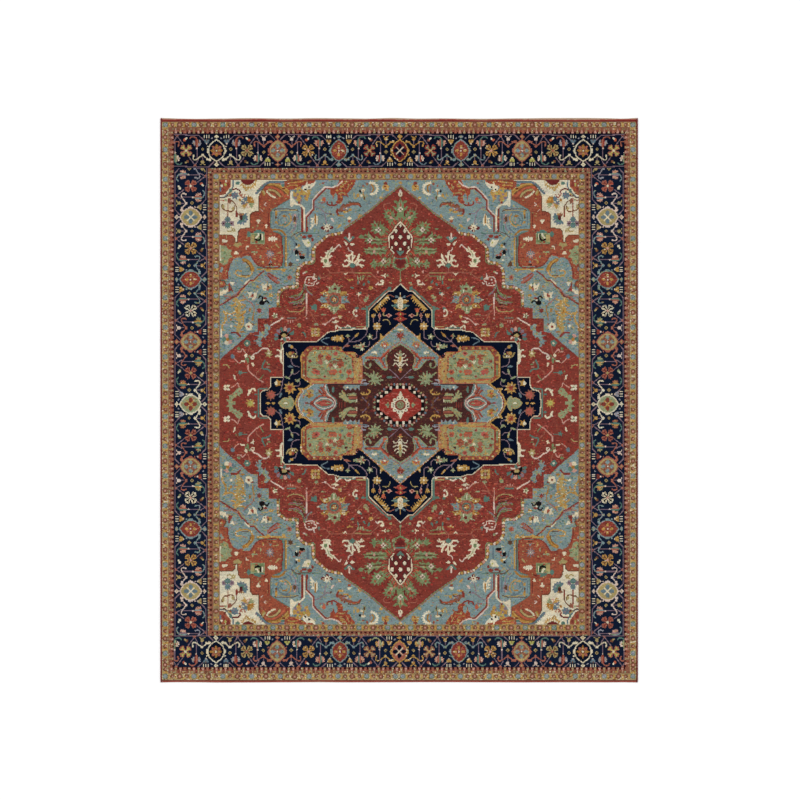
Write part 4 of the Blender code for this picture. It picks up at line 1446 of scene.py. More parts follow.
def pale_antlers(q):
    """The pale serrated leaf, the antlers on their green cup, and the tulip above them."""
    strokes(
        q, "blush", 0.7, ((-37.1, 97.8), (-38.4, 99.2), (-40.9, 96.6)),
        ((-32.6, 97.4), (-31.8, 95.6), (-29.8, 94.8), (-29.3, 92.4)),
    )
    shapes(q, "cream", (
        (-41, 97.4), (-42.2, 96.6), (-42.4, 98.2), (-43.6, 97), (-44.4, 95.9), (-46, 95.8), (-45.8, 94.4),
        (-47.4, 94.6), (-46.6, 93), (-47.8, 91), (-50.6, 91.6), (-49, 90.2), (-50.4, 88.6), (-48.6, 87.8),
        (-48.6, 86.6), (-46.6, 86), (-49.4, 85.6), (-48.2, 84.8), (-45.6, 85), (-44.6, 84.8), (-42.8, 86.4),
        (-44.4, 86.6), (-43.2, 88.8), (-44.8, 88.2), (-44.9, 90.4), (-42, 92), (-43.2, 92.6), (-44.6, 92),
        (-43.8, 94.2), (-41.2, 95.2),
    ))
    strokes(q, "sage", 0.6, ((-42.4, 96.2), (-44.6, 94.6), (-45.8, 91.6)))
    spots(q, "green", (-46.9, 89, 1.2, 1.3))
    strokes(
        q, "cream", 1.3, ((-30, 94), (-29.6, 90.8), (-30, 88.2)), ((-32, 92.4), (-31.8, 89.6), (-30.6, 88)),
        ((-28.4, 87.8), (-26.6, 90), (-25.6, 92.8)), ((-27.2, 86.4), (-26.2, 88), (-25.2, 89.6)),
    )
    strokes(
        q, "cream", 1, ((-33.6, 92.4), (-32.2, 91.6), (-31, 92.8)),
        ((-34.6, 88.7), (-33.4, 89.4), (-31.4, 88.6)), ((-25.2, 89.6), (-22.4, 89.2)),
        ((-36, 86.6), (-35, 85.6), (-32.6, 86), (-31.8, 87.4)), ((-27, 86.6), (-24.6, 86.4), (-22.9, 86)),
        ((-25, 86.6), (-23.9, 85)), ((-28.2, 92), (-29, 91)),
    )
    shapes(
        q, "teal", ((-31.8, 85.6), (-31.2, 87), (-29.8, 87.8), (-28.4, 86.8), (-27.8, 85.6), (-29.8, 84.2)),
        (
            (-35.6, 103.9), (-34, 104.6), (-32.4, 103.2), (-31, 103.2), (-29.8, 104.8), (-28, 104.1),
            (-29.4, 103), (-30.8, 101.4), (-31.8, 100.6), (-33.2, 101.8),
        ),
    )
    spots(q, "blush", (-31.7, 104.9, 0.6, 2))
    shapes(q, "blush", (
        (-33.1, 104.2), (-31.4, 102.4), (-30.2, 104.4), (-30.6, 102.6), (-31.6, 101.9), (-32.6, 102.6),
    ))
    shapes(
        q, "ivory", ((-35.2, 101.6), (-33.2, 100.6), (-32.8, 99.6), (-33.6, 98.6), (-34.4, 100)),
        ((-31.6, 99.9), (-29.8, 100.5), (-28, 99.7), (-30.2, 98.5)),
    )
    q.line("oxblood", 0.6, ((-32, 100.6), (-32.2, 98.4)))


def ring_flower(q):
    """The open ivory ring below the beaded edge, with the drooping blue-green branches beside it."""
    ring = (
        (-60, 74), (-59.8, 76.6), (-58.8, 78.4), (-56.4, 78.8), (-54.8, 78.2), (-52.8, 77.6), (-53, 76),
        (-54.2, 75.4), (-54.4, 73.6), (-57, 73.2),
    )
    q.line("blush", 0.7, smooth(ring, True))
    spots(
        q, "blush", (-57.6, 77, 0.6, 0.5), (-57.7, 75, 0.6, 0.4), (-55.8, 74.6, 0.6, 0.5),
        (-54.4, 77.8, 1.2, 0.8),
    )
    strokes(
        q, "blush", 0.9, ((-54.6, 78.6), (-54.1, 80.4)), ((-52.6, 74.4), (-51.6, 75)),
        ((-61, 81), (-60, 81.6)),
    )
    spots(q, "teal", (-51.2, 78, 0.8, 1.3))
    spots(q, "sage", (-59.2, 82, 0.8, 0.7))
    for run in (
        ((-60.4, 74.2), (-61.2, 71), (-63, 68.4), (-67, 66.6), (-70.4, 66.2)),
        ((-61, 72), (-61.8, 69.2), (-64.4, 66.6), (-67, 65.4)),
        ((-60.4, 68), (-61.4, 65.4), (-64.6, 63.2), (-70.6, 62.6)),
        ((-60.2, 66.4), (-61.6, 63.6), (-63.6, 62.2), (-67.4, 61.2)),
        ((-59.6, 72.6), (-58.8, 69.8), (-56.6, 68.4)), ((-59.4, 71), (-57.6, 69), (-56, 68)),
    ):
        strokes(q, "green", 0.7, run)
        strokes(q, "mauve", 0.5, np.array(run) + (0.5, -0.8))
    strokes(
        q, "maroon", 0.6, ((-60.6, 72), (-60.9, 69.4), (-62.2, 67.2)),
        ((-60.2, 64), (-62.8, 60.6), (-66, 59.6)), ((-62.6, 61.4), (-68, 60.4)),
        ((-61.4, 59.2), (-66.8, 58.4)),
    )
    strokes(q, "salmon", 0.5, ((-62, 60.2), (-67.4, 59.4)), ((-60.6, 57.6), (-66.4, 55.4)))
    q.line("blush", 0.9, ((-59.2, 68), (-59, 61)))
    q.line("pink", 0.8, ((-59, 61), (-59.2, 54)))
    spots(q, "pink", (-58.9, 52.4, 0.6, 0.6))
    strokes(q, "khaki", 0.6, ((-60.2, 59.6), (-61.6, 57.4), (-64.6, 56.4), (-69.2, 56.6), (-71.4, 57.8)))
    strokes(
        q, "salmon", 0.5, ((-58.8, 58), (-56.6, 56.2), (-54.6, 52.4), (-52.6, 49.2)),
        ((-56.6, 56), (-54, 54.2), (-51.2, 54)),
    )
    shapes(q, "teal", (
        (-57, 60.8), (-55.4, 60.2), (-54, 61.4), (-52.4, 60.8), (-52.4, 58.4), (-53.2, 56.8), (-54.8, 58),
        (-56.2, 57.4), (-55.8, 59),
    ))
    spots(q, "sage", (-52.8, 48.4, 1.5, 0.9), (-48.4, 54.6, 1.8, 0.5), (-63.8, 47.8, 1.4, 1.3))
    spots(q, "gold", (-63.2, 46.4, 0.8, 0.4))
    strokes(
        q, "pink", 0.7, ((-47.6, 48.2), (-46.6, 48.8)),
        ((-49, 48.6), (-46.2, 49.2), (-43.4, 51.6), (-42, 52.4), (-39.6, 53)),
    )
    spots(q, "blush", (-41.8, 52.2, 0.7, 0.6), (-47.2, 48.4, 0.9, 0.5))
    spots(q, "gold", (-37.7, 53.4, 1.2, 1.1))
    shapes(q, "cream", (
        (-43.6, 50.4), (-41.4, 50.2), (-40.6, 51.4), (-39.8, 50.8), (-38, 50.4), (-39.4, 49.6), (-41.2, 49),
    ))
    strokes(q, "teal", 0.9, ((-61.6, 43.4), (-60.4, 42.6), (-59.6, 40.4)), ((-68.8, 42.6), (-67.4, 44.2)))
    for turn in DIAGONALS:
        petal = q.at(-53.4, 43.4, turn)
        petal.oval("gold", 0, 2.2, 1.2, 1.5)
        petal.oval("umber", 0, 1.4, 0.5, 0.5)
    for turn in AXES:
        q.at(-53.4, 43.4, turn).oval("khaki", 0, 2, 0.6, 1)
    spots(q, "pink", (-53.4, 43.4, 0.7, 0.7))


def upper_sprigs(q):
    """The small flowers and thin vines between the palmette and the medallion."""
    strokes(
        q, "salmon", 0.55, ((-46.4, 84), (-45, 82.6), (-44, 81.5), (-36.4, 81.6)),
        ((-51.4, 78.6), (-47.8, 78.4), (-45.4, 80), (-44.2, 81.4)),
        ((-36.4, 81.6), (-28, 81.5), (-18.4, 81.5)),
        ((-18.4, 81.5), (-15.4, 78.6), (-13.2, 76.6), (-13.4, 75)),
        ((-29.8, 84), (-29.8, 81.8), (-27.6, 79.4)),
    )
    strokes(q, "khaki", 0.5, ((-28, 81.2), (-18, 81.4)))
    shapes(
        q, "cream", ((-36.2, 81.4), (-34.4, 80.9), (-32.8, 81.4), (-34.4, 79.6)),
        ((-11.6, 79.8), (-9.6, 80), (-8.4, 81.5), (-8.9, 79.6), (-8.3, 77.8), (-9.8, 79)),
    )
    spots(
        q, "gold", (-32.8, 77.2, 0.7, 0.4), (-31.4, 76.6, 0.8, 0.7), (-18.1, 71.8, 1.4, 1.3),
        (-30, 77, 0.7, 0.4),
    )
    strokes(
        q, "sage", 0.9, ((-26.6, 79), (-26, 77)), ((-24.6, 79), (-24.6, 77)), ((-22.8, 78.4), (-23.4, 77)),
    )
    q.line("green", 0.6, ((-23.4, 79), (-18, 79.4)))
    spots(
        q, "pink", (-25.9, 75.4, 0.5, 0.8), (-13.6, 82, 0.5, 0.9), (-23.8, 71.2, 0.5, 0.4),
        (-31.8, 56.4, 0.5, 0.5),
    )
    strokes(q, "ivory", 1.1, ((-11.6, 76), (-10.4, 75.6), (-10.8, 74), (-12.6, 73.9), (-13.6, 74.6)))
    shapes(q, "ivory", ((-12, 76.2), (-10.8, 77.2), (-9.2, 76.4), (-10.2, 75.4)))
    strokes(q, "blush", 0.8, ((-13.4, 75), (-14.8, 73.6)))
    for x, y, turn in (
        (-26.4, 73.8, -10), (-28.6, 71.4, 70), (-23.8, 69, 120), (-23.2, 73, -40), (-18.9, 74.2, 20),
    ):
        leaf(q.at(x, y, turn), 2.8, 1.4, "teal")
    leaf(q.at(-6.2, 72.6, 200), 2.6, 1.8, "teal")
    star(q.at(-6.2, 71.4, 20), 4, 1.6, 0.8, "teal")
    strokes(
        q, "salmon", 0.5, ((-27.6, 69.6), (-26.2, 68)), ((-26, 66.6), (-25.6, 64.6), (-23, 61.8)),
        ((-21.6, 62.4), (-22.4, 64)), ((-16.4, 71.4), (-14, 69.6)),
    )
    spots(q, "oxblood", (-26, 71.4, 0.6, 0.9))
    star(q.at(-25.8, 67.6), 4, 1.6, 0.7, "ivory")
    serrated(q.at(-22, 62.8, -28), 5, 3.4, 3, "sage")
    spots(q, "sage", (-5.4, 75, 1, 0.7), (-7.2, 79.6, 1, 0.7))
    strokes(q, "cream", 0.9, (
        (-27, 57.4), (-28.2, 57.7), (-29.2, 56.4), (-28.8, 54.6), (-27.8, 53.6), (-26.9, 54.2),
    ))
    spots(q, "blush", (-27.2, 56.9, 0.6, 0.9), (-27, 53.9, 0.6, 0.6))
    spots(q, "teal", (-27, 58.8, 1.1, 0.8), (-22.8, 58.4, 1.6, 0.7))
    strokes(q, "salmon", 0.5, ((-28.6, 53.8), (-27.6, 51.4), (-25.6, 50.6)), ((-30.6, 51.6), (-28.8, 53.6)))
    spots(q, "green", (-22.4, 109.4, 1.3, 0.5))


def side_leaves(q):
    """The pale vine at the edge of the red field, with a light blue leaf and a fan of petals below it."""
    strokes(q, "blush", 0.8, ((-82, 47.6), (-80, 49), (-76.6, 50.8), (-75, 52), (-73.9, 52.6)))
    strokes(
        q, "salmon", 0.7, ((-73.6, 53.2), (-72.6, 51.6), (-70, 51), (-65.6, 51.2), (-62.8, 52.6)),
        ((-78, 53), (-76.6, 51.8)),
    )
    q.line("teal", 0.7, ((-71.4, 52.4), (-66, 52.4)))
    strokes(
        q, "pink", 0.5, ((-70.8, 50.8), (-70.8, 50.2)), ((-69.4, 50.8), (-69.4, 49.6)),
        ((-67.8, 50.8), (-67.8, 50)),
    )
    star(q.at(-79.2, 54, 20), 5, 2.2, 1, "cream")
    spots(q, "green", (-79.2, 54, 0.8, 0.8), (-79.8, 52.6, 0.7, 0.5))
    shapes(q, "sky", (
        (-86.6, 48.4), (-84.6, 49), (-82.4, 47), (-82, 45.6), (-83.6, 44.4), (-83.4, 42), (-85.2, 40.6),
        (-85, 38.8), (-86.4, 40.8), (-88.4, 38.4), (-87.4, 36.6), (-88.4, 35.4), (-87.4, 34), (-89.6, 34.4),
        (-90, 36.2), (-91.6, 35), (-90.6, 37.2), (-92.8, 37.8), (-90.4, 38.8), (-89.6, 40.6), (-92.2, 41.4),
        (-89.4, 41.8), (-89.2, 44.4), (-87.6, 43), (-86, 44.2), (-85.4, 46),
    ))
    spots(q, "sage", (-86.4, 42.6, 0.9, 1.3), (-84.6, 46.4, 0.6, 0.9))
    for turn, dye in (
        (20, "teal"), (-5, "pink"), (-30, "slate"), (45, "mauve"), (75, "slate"), (100, "teal"),
        (-62, "teal"),
    ):
        petal = q.at(-73.2, 40.2, turn)
        petal.line(dye, 1.3, ((0, 3.4), (0, 6.2)))
        petal.oval(dye, 0, 5.6, 1.1, 1)
        petal.oval("black", 0, 3, 0.75, 1.1)
    spots(q, "khaki", (-73.4, 41.4, 1.6, 1.1))
    shapes(q, "teal", ((-74.6, 40), (-71.8, 40), (-72.4, 37.6), (-73.4, 37.4)))
    strokes(q, "blush", 0.8, ((-72.2, 39.8), (-70.4, 40), (-69.8, 39.2)), ((-74.6, 39.2), (-75.6, 38.6)))


def side_sprigs(q):
    """The small flowers and thin vines of the red field beside the medallion."""
    flower(q.at(-97, 36.4, 15), 5, 2.2, ("teal",), "cream")
    strokes(q, "salmon", 0.5, ((-95.6, 35.4), (-95.6, 33.6), (-96.6, 30.4)))
    spots(q, "green", (-102.3, 33, 1, 1), (-104, 18.2, 0.5, 0.5))
    strokes(q, "pink", 0.7, ((-103.2, 31.2), (-101.2, 31), (-100, 32.6), (-98.2, 30.6)))
    strokes(q, "pink", 0.6, ((-105.4, 26.8), (-104.2, 25.4), (-102.2, 23.8)))
    spots(q, "slate", (-106.3, 27.9, 1.3, 1.5))
    shapes(
        q, "cream", ((-98.8, 28.6), (-97.6, 30), (-96.6, 29.2), (-97, 27.8), (-98.2, 27.2)),
        ((-101.8, 23.6), (-100.6, 25.4), (-98.4, 25.4), (-98.6, 24.2), (-100.4, 24.4)),
        ((-94.8, 23.6), (-93, 24), (-92.4, 22.4), (-93.2, 21.2), (-93.8, 22.6)),
    )
    strokes(q, "ivory", 0.8, ((-94.6, 27), (-93.6, 28.2), (-92.6, 27.8), (-92.8, 26.6), (-94, 26.5)))
    spots(q, "green", (-96.6, 25.6, 0.7, 2.1), (-95.4, 28.2, 0.8, 0.8), (-98, 26.4, 0.5, 0.8))
    strokes(q, "blush", 0.8, (
        (-94.4, 27.8), (-92.6, 29.6), (-90.2, 30.5), (-88.4, 32.2), (-86.9, 33.1), (-84.6, 33.1),
        (-83.2, 32.2), (-83.4, 31),
    ))
    star(q.at(-83.2, 29.6, 15), 6, 2.8, 1.5, "khaki")
    star(q.at(-83.2, 29.9), 4, 1.1, 0.5, "cream")
    strokes(q, "pink", 0.75, ((-96.3, 22.4), (-96.2, 19.4), (-94, 17), (-90.4, 13.8), (-86.8, 11.6)))
    strokes(q, "salmon", 0.5, ((-91.2, 16), (-90.8, 18), (-88, 20.4)))
    strokes(q, "teal", 1, ((-85.6, 25.4), (-87, 22.6), (-87.2, 20.4), (-84, 19.8), (-82, 18.4)))
    spots(q, "green", (-83.2, 22.8, 1.1, 0.5), (-84.4, 24.2, 0.5, 0.8))
    spots(q, "pink", (-84, 24, 0.5, 0.5), (-83.6, 21.2, 1, 0.4))
    strokes(q, "green", 0.7, ((-89.2, 13), (-87.6, 15), (-86.8, 16.2)))
    star(q.at(-101.4, 17.6, 30), 5, 1.9, 0.9, "teal")
    q.line("teal", 0.6, ((-100, 17.7), (-97, 17.8)))
    shapes(q, "cream", ((-106, 16.6), (-104.4, 15.6), (-104.6, 13.8), (-103.8, 12.8), (-105.2, 13.6)))


def side_figures(q):
    """The sage leaf, the gold flower and the pale hooked leaves at either side of the red field."""
    strokes(q, "khaki", 0.7, ((-112.2, 22.4), (-111, 22.6), (-109.4, 22.2), (-108.4, 20.8)))
    for x, y in ((-111, 9), (-111, 7.4), (-109, 9.2), (-109, 7)):
        q.oval("ivory", x, y, 1, 0.9)
    q.oval("green", -109.8, 8.2, 0.6, 0.5)
    strokes(q, "pink", 0.6, ((-107, 8.2), (-105.4, 9), (-103, 11.2)), ((-103, 11), (-102.2, 8.4)))
    shapes(q, "sage", (
        (-101.6, 8.2), (-100, 6.4), (-100, 4.4), (-102, 3.4), (-101.2, 2.2), (-103.4, 3.2), (-104.4, 1.4),
        (-105.4, 2), (-106.4, 0.2), (-106.4, -1), (-104.4, -1), (-104.2, -2.4), (-109, -2.4),
        (-108.4, -1.2), (-109.8, -0.6), (-110.6, 0.6), (-108.6, 0.4), (-108.2, 2.2), (-109.2, 3.4),
        (-107.4, 3.4), (-105, 5.2), (-103.6, 7.4),
    ))
    spots(q, "salmon", (-102, 5.8, 0.5, 0.4), (-103.8, 4.4, 0.5, 0.4), (-106.4, 3.4, 0.5, 0.4))
    strokes(q, "cream", 1.1, ((-96.4, 3.4), (-95.4, 5), (-94.6, 6.8), (-92.8, 7.4), (-91.7, 6.2)))
    shapes(q, "cream", ((-96.6, 6.6), (-95.4, 6.8), (-95.2, 4.4), (-96.4, 4.6)))
    spots(q, "teal", (-91.6, 3.8, 1, 0.7))
    for i in range(8):
        q.at(-94.9, -2.1, 45 * i).fill("gold", ((-0.7, 1), (0, 3.4), (0.7, 1)))
    q.oval("lime", -94.9, -2.1, 1.4, 1.4)
    strokes(
        q, "ivory", 1,
        ((-77.8, 32), (-76.4, 31.6), (-75.6, 30), (-75.8, 26.4), (-74.6, 23.6), (-72.9, 24.8)),
        ((-78.6, 28), (-77.2, 28.4), (-75.8, 27.4)), ((-75.6, 31), (-75, 32.2)),
    )
    shapes(q, "cream", ((-76.6, 31.8), (-74.8, 32.8), (-74.4, 24), (-75.2, 24), (-76.3, 26.8), (-76, 29.6)))


def beaded_edge(q):
    """The row of pale beads between the red field and the blue ground."""
    q.line("green", 0.9, np.add(BEADED_EDGE, (0.9, -0.9)))
    q.line("umber", 1.9, BEADED_EDGE)
    q.line("salmon", 0.5, ((0.7, 137.3), (-10.2, 128.8), (-20.2, 120.2), (-35, 110)))
    q.line("green", 0.6, ((0.7, 136.8), (-10, 128.4), (-20, 119.8), (-34.8, 109.6)))
    beads(q, BEADED_EDGE, 2, ("cream", "gold", "blush", "gold", "pink"), 0.88, 0.88)


def ivory_corner(q):
    """The flowers on the ivory ground in each corner, and the small red corner inside it."""
    q.fill("terracotta", (*RED_CORNER, (-125, 150)))
    q.line("slate", 1, np.add(RED_CORNER, (0.8, -0.8)))
    q.line("ivory", 0.8, RED_CORNER)
    spots(
        q, "ivory", (-113.2, 136.9, 0.7, 0.8), (-102.6, 136.3, 1.2, 0.7), (-110.6, 139.8, 0.5, 0.8),
        (-99.8, 114.8, 0.6, 0.7),
    )
    spots(
        q, "brick", (-109, 138, 0.8, 1.9), (-112.4, 134.4, 1, 1), (-107.6, 131, 0.7, 0.7),
        (-108.4, 127.6, 1.3, 1.4),
    )
    spots(q, "lime", (-110.8, 137.6, 0.6, 1.2), (-101.8, 118.4, 0.5, 0.7))
    spots(q, "maroon", (-113.9, 138.6, 0.6, 1.2), (-111, 131.8, 0.5, 0.4))
    spots(q, "slate", (-113.9, 134.6, 0.6, 1.6))
    spots(q, "teal", (-107.6, 133.8, 1, 1.4), (-103, 138.6, 1.4, 1.2))
    q.line("brown", 0.6, ((-114.8, 129.4), (-111.4, 129.2), (-109.6, 130.6), (-107.8, 130.2)))
    q.line("khaki", 0.9, ((-109, 131.2), (-107, 132.4)))
    strokes(q, "oxblood", 1, ((-106.2, 134.6), (-103.8, 134.9), (-102, 134), (-101.2, 132.6)))
    fringe = q.at(-96.3, 140.6)
    frill(fringe, 2, 6.6, 208, 332, 7, "gold")
    frill(fringe, 2, 4.9, 214, 326, 7, "ivory")
    frill(fringe, 2, 4.2, 205, 335, 9, "khaki")
    shapes(q, "oxblood", (
        (-101.6, 150), (-91.4, 150), (-91.6, 140.6), (-93.2, 138.6), (-96, 137.3), (-98.6, 137.8),
        (-100.8, 139.6),
    ))
    strokes(
        q, "gold", 0.8, ((-98.9, 136.2), (-97.6, 133.8), (-96.2, 136)), ((-91.4, 140.6), (-91.6, 138.2)),
    )
    ivory_blossoms(q)
    strokes(q, "slate", 1.5, (
        (-91, 132), (-88.8, 134.2), (-86.8, 136.6), (-84.4, 138.6), (-80.6, 139.4), (-74, 139.2),
    ))
    beads(q, ((-91.4, 132.8), (-87.6, 137), (-83.8, 139.4)), 1.5, ("mauve", "teal"), 0.5)


def ivory_blossoms(q):
    """The toothed flowers of the ivory ground and their stems."""
    strokes(q, "umber", 0.7, ((-108.2, 128.6), (-105.4, 126), (-103.9, 123.6), (-103.8, 120.6)))
    q.oval("russet", -108, 127, 0.9, 1.6)
    strokes(q, "brick", 1.2, ((-103.8, 120.4), (-103.7, 117.4)))
    beads(q, ((-109.3, 128.6), (-109.3, 116.8)), 1, ("salmon", "brick"), 0.45, 0.6)
    strokes(q, "salmon", 0.9, ((-115, 127.8), (-111.6, 127.6)))
    strokes(
        q, "umber", 0.8, ((-109.3, 121), (-111, 121.2), (-112.8, 122.8), (-112.9, 124.9)),
        ((-109.3, 121), (-107.4, 120.3), (-105.7, 121.3), (-105.2, 124)),
    )
    spots(q, "khaki", (-112.1, 123.6, 0.8, 1.4), (-106, 122.4, 0.8, 1.2))
    q.oval("sage", -110.7, 127.8, 0.7, 0.8)
    star(q.at(-104.9, 130.8), 7, 2.9, 1.9, "slate")
    spots(q, "mauve", (-104.2, 131.4, 0.7, 0.6), (-105.6, 130, 0.5, 0.6))
    strokes(
        q, "salmon", 0.8, ((-102, 132.2), (-101, 130.2), (-99.2, 129.4), (-98.4, 131.2)),
        ((-100.8, 130.2), (-100.2, 131.4)),
    )
    q.oval("ochre", -101.6, 127.8, 0.7, 1)
    blossom = q.at(-96.6, 126.2)
    for first, last, reach, teeth, dye in (
        (95, 202, 4.7, 5, "slate"), (-6, 92, 4.9, 5, "ochre"), (-62, -8, 4.7, 3, "sage"),
        (204, 246, 5.2, 3, "gold"), (-110, -66, 3.6, 3, "pink"),
    ):
        frill(blossom, 0, reach, first, last, teeth, dye)
    spots(blossom, "ivory", (-2.9, 1.4, 0.7, 0.5), (-1.4, 0.4, 0.5, 0.6), (0.2, -2, 0.5, 0.8))
    spots(blossom, "gold", (2.2, 2, 0.9, 0.8), (-0.4, 0.8, 0.4, 0.5))
    spots(blossom, "mauve", (-2.4, -0.6, 0.7, 0.5), (-3.2, 0.2, 0.4, 0.4))
    fan = q.at(-100.8, 116.3)
    frill(fan, 1, 4.8, -135, 52, 7, "slate")
    frill(fan, 0.6, 3.2, -120, 40, 5, "teal")
    frill(fan, 0, 3.6, 52, 135, 4, "russet")
    spots(fan, "maroon", (0, 0.2, 1, 1.6))
    spots(fan, "lilac", (2.6, -1.2, 0.5, 0.6), (0.8, -3, 0.6, 0.4))
    spots(fan, "gold", (0.8, 2.4, 0.6, 0.5))
    for x, y, reach, dye in (
        (-111.7, 112.8, 2, "mauve"), (-107, 112.8, 2, "mauve"), (-109.4, 111.6, 2.3, "teal"),
        (-109.4, 115.3, 2.3, "slate"),
    ):
        star(q.at(x, y), 8, reach, 0.7 * reach, dye)
    spots(q, "teal", (-109.4, 115.4, 0.7, 0.9))
    spots(q, "slate", (-109.9, 111.6, 0.5, 0.8), (-108.8, 111.2, 0.4, 0.5))
    spots(q, "maroon", (-111.9, 112.8, 0.6, 0.5), (-106.8, 112.8, 0.6, 0.5))
    strokes(
        q, "khaki", 0.8, ((-109.6, 108), (-107.8, 107.6), (-106.4, 109), (-107.4, 110.3)),
        ((-106.4, 109.4), (-105.2, 109.4), (-104.8, 107.8)), ((-106.6, 108.6), (-105.6, 107.6)),
    )


def terracotta_corner(q):
    """The flowers on the terracotta ground about the ivory corner."""
    q.fill("terracotta", TERRACOTTA_CORNER)
    strokes(
        q, "ochre", 1.6, ((-84.6, 137.4), (-80, 137.4), (-75.4, 135.6), (-71, 132.8)),
        ((-87.2, 134.2), (-86.4, 131.4)),
    )
    strokes(q, "coral", 1.2, ((-85, 135.8), (-80.4, 135.6), (-76.4, 133.4), (-73.2, 130.4)))
    strokes(
        q, "gold", 1, ((-82.6, 138.2), (-77, 137.4), (-72.4, 135.2), (-70.6, 133.8)),
        ((-75, 134.6), (-72.6, 133.2), (-71, 131.2)),
    )
    strokes(
        q, "khaki", 1.2, ((-83.4, 134.4), (-80.4, 134), (-77.8, 132.4), (-76, 130.2)),
        ((-86.8, 133.6), (-85.8, 131.8)),
    )
    strokes(
        q, "umber", 0.5, ((-84.6, 136.6), (-79.6, 136.6), (-74.6, 134), (-72, 131.6)),
        ((-82.8, 135.2), (-79, 134.4), (-75.4, 131.4)), ((-82, 133), (-78.8, 131.8), (-77, 129.8)),
    )
    strokes(q, "cream", 1.1, ((-84.4, 133.4), (-83, 131.6), (-81, 130.3), (-79.2, 129.5)))
    spots(q, "sage", (-83.4, 132.6, 0.5, 0.5), (-81.4, 131, 0.5, 0.4))
    spots(q, "lilac", (-74.6, 138.2, 1.4, 0.5))
    spots(q, "teal", (-74.2, 137.1, 1.3, 0.9), (-96, 106, 1.2, 1.9))
    spots(q, "oxblood", (-73.7, 135.2, 1.1, 0.6), (-94, 106.8, 0.8, 0.6))
    strokes(q, "blush", 0.5, ((-84.9, 126), (-86.2, 125), (-85, 124.2)), ((-88.2, 121.8), (-86.8, 120.6)))
    spots(
        q, "cream", (-89.8, 114.7, 1.4, 0.8), (-89.7, 113.6, 0.5, 1), (-84.8, 111.5, 1, 0.6),
        (-84.7, 110.7, 0.5, 0.9),
    )
    for i in range(4):
        for j in range(3):
            q.oval("brick", -94.0 + 1.4 * i, 118.4 + 0.9 * j, 0.4, 0.4)
    strokes(q, "oxblood", 0.6, ((-83.6, 119), (-83.4, 111)), ((-86, 108.6), (-84, 107.4)))
    q.box("sage", -94.8, 99.8, -85.8, 106.8)
    q.box("green", -93.6, 100.6, -86.4, 106.2)
    q.box("khaki", -94.6, 101.2, -92.2, 105.6)
    q.box("terracotta", -91.6, 100.4, -90.2, 101.6)
    strokes(q, "black", 1.1, ((-91.8, 102.8), (-90.2, 102.2), (-88.6, 102.8), (-88.4, 105.6)))
    strokes(q, "ivory", 1.1, ((-91.4, 103.8), (-90.4, 104.4), (-89.6, 106.4)))
    q.line("ivory", 0.8, ((-87.4, 102.6), (-87.4, 105.8)))
    strokes(q, "teal", 1.2, ((-91.2, 108), (-88.6, 108.4)), ((-92.4, 107.2), (-86.6, 107.1)))
    serrated(q.at(-83.6, 103, -90), 5.6, 3.6, 4, "ivory")
    spots(
        q, "cream", (-111.2, 101.6, 1.9, 0.9), (-112.2, 102.4, 0.7, 0.5), (-104, 93.6, 1.6, 0.6),
        (-104, 94.4, 1, 0.9),
    )
    shapes(q, "khaki", (
        (-106, 99), (-104.6, 100.6), (-103.4, 100.2), (-101, 100.8), (-100.2, 99), (-101.8, 98.6),
        (-102.6, 97.2), (-104.2, 98),
    ))
    strokes(q, "cream", 0.8, ((-97.6, 96.6), (-97.4, 98), (-96.2, 98.2)))
    q.line("khaki", 0.9, ((-78.6, 99.6), (-76.8, 97.4)))
    star(q.at(-82.4, 93.3), 9, 3.4, 1.2, "slate")
    star(q.at(-82.4, 93.3, 20), 9, 3, 0.8, "pink")
    spots(q, "slate", (-82.4, 93.3, 0.9, 0.8))
    spots(q, "ivory", (-82.4, 93.3, 0.5, 0.4))
    shapes(q, "sky", ((-82, 89.6), (-80.9, 87.4), (-82, 87.9), (-83.2, 87.2)))
    spots(q, "black", (-82.6, 86.6, 0.6, 0.4), (-81.4, 86.5, 0.6, 0.4))
    spots(q, "gold", (-86.9, 88.1, 0.6, 1.1), (-92.4, 93.2, 0.6, 0.8))
    spots(q, "sage", (-93.2, 94.6, 1.4, 0.6), (-90.9, 94.6, 0.8, 0.5), (-88.4, 91.6, 0.5, 1.2))
    strokes(q, "brick", 0.9, ((-99.6, 92.8), (-95.4, 93.2), (-89.4, 85.9), (-75.4, 86), (-75.2, 104.6)))
    shapes(q, "sage", (
        (-114.6, 99), (-110.8, 98.8), (-109, 96.4), (-106.6, 95.8), (-107.8, 93.6), (-106.2, 91.4),
        (-108.6, 90.6), (-109.4, 87.4), (-111.8, 86.2), (-114.6, 88),
    ))
    spots(q, "green", (-111.4, 94, 0.8, 1), (-112.6, 88.6, 0.6, 1.2), (-111.4, 91, 0.6, 0.6))
    spots(q, "khaki", (-112.6, 96, 0.8, 0.7), (-111.2, 88.6, 0.8, 0.8), (-113.4, 84.8, 0.6, 0.5))
    q.line("ivory", 0.7, ((-114.3, 99), (-114.1, 89.4)))
    shapes(q, "sky", ((-113, 85.4), (-112, 83.8), (-113.6, 81.2), (-114.6, 82.6)))
    q.line("brick", 0.9, ((-109.6, 78), (-109.2, 83), (-108, 87.4)))


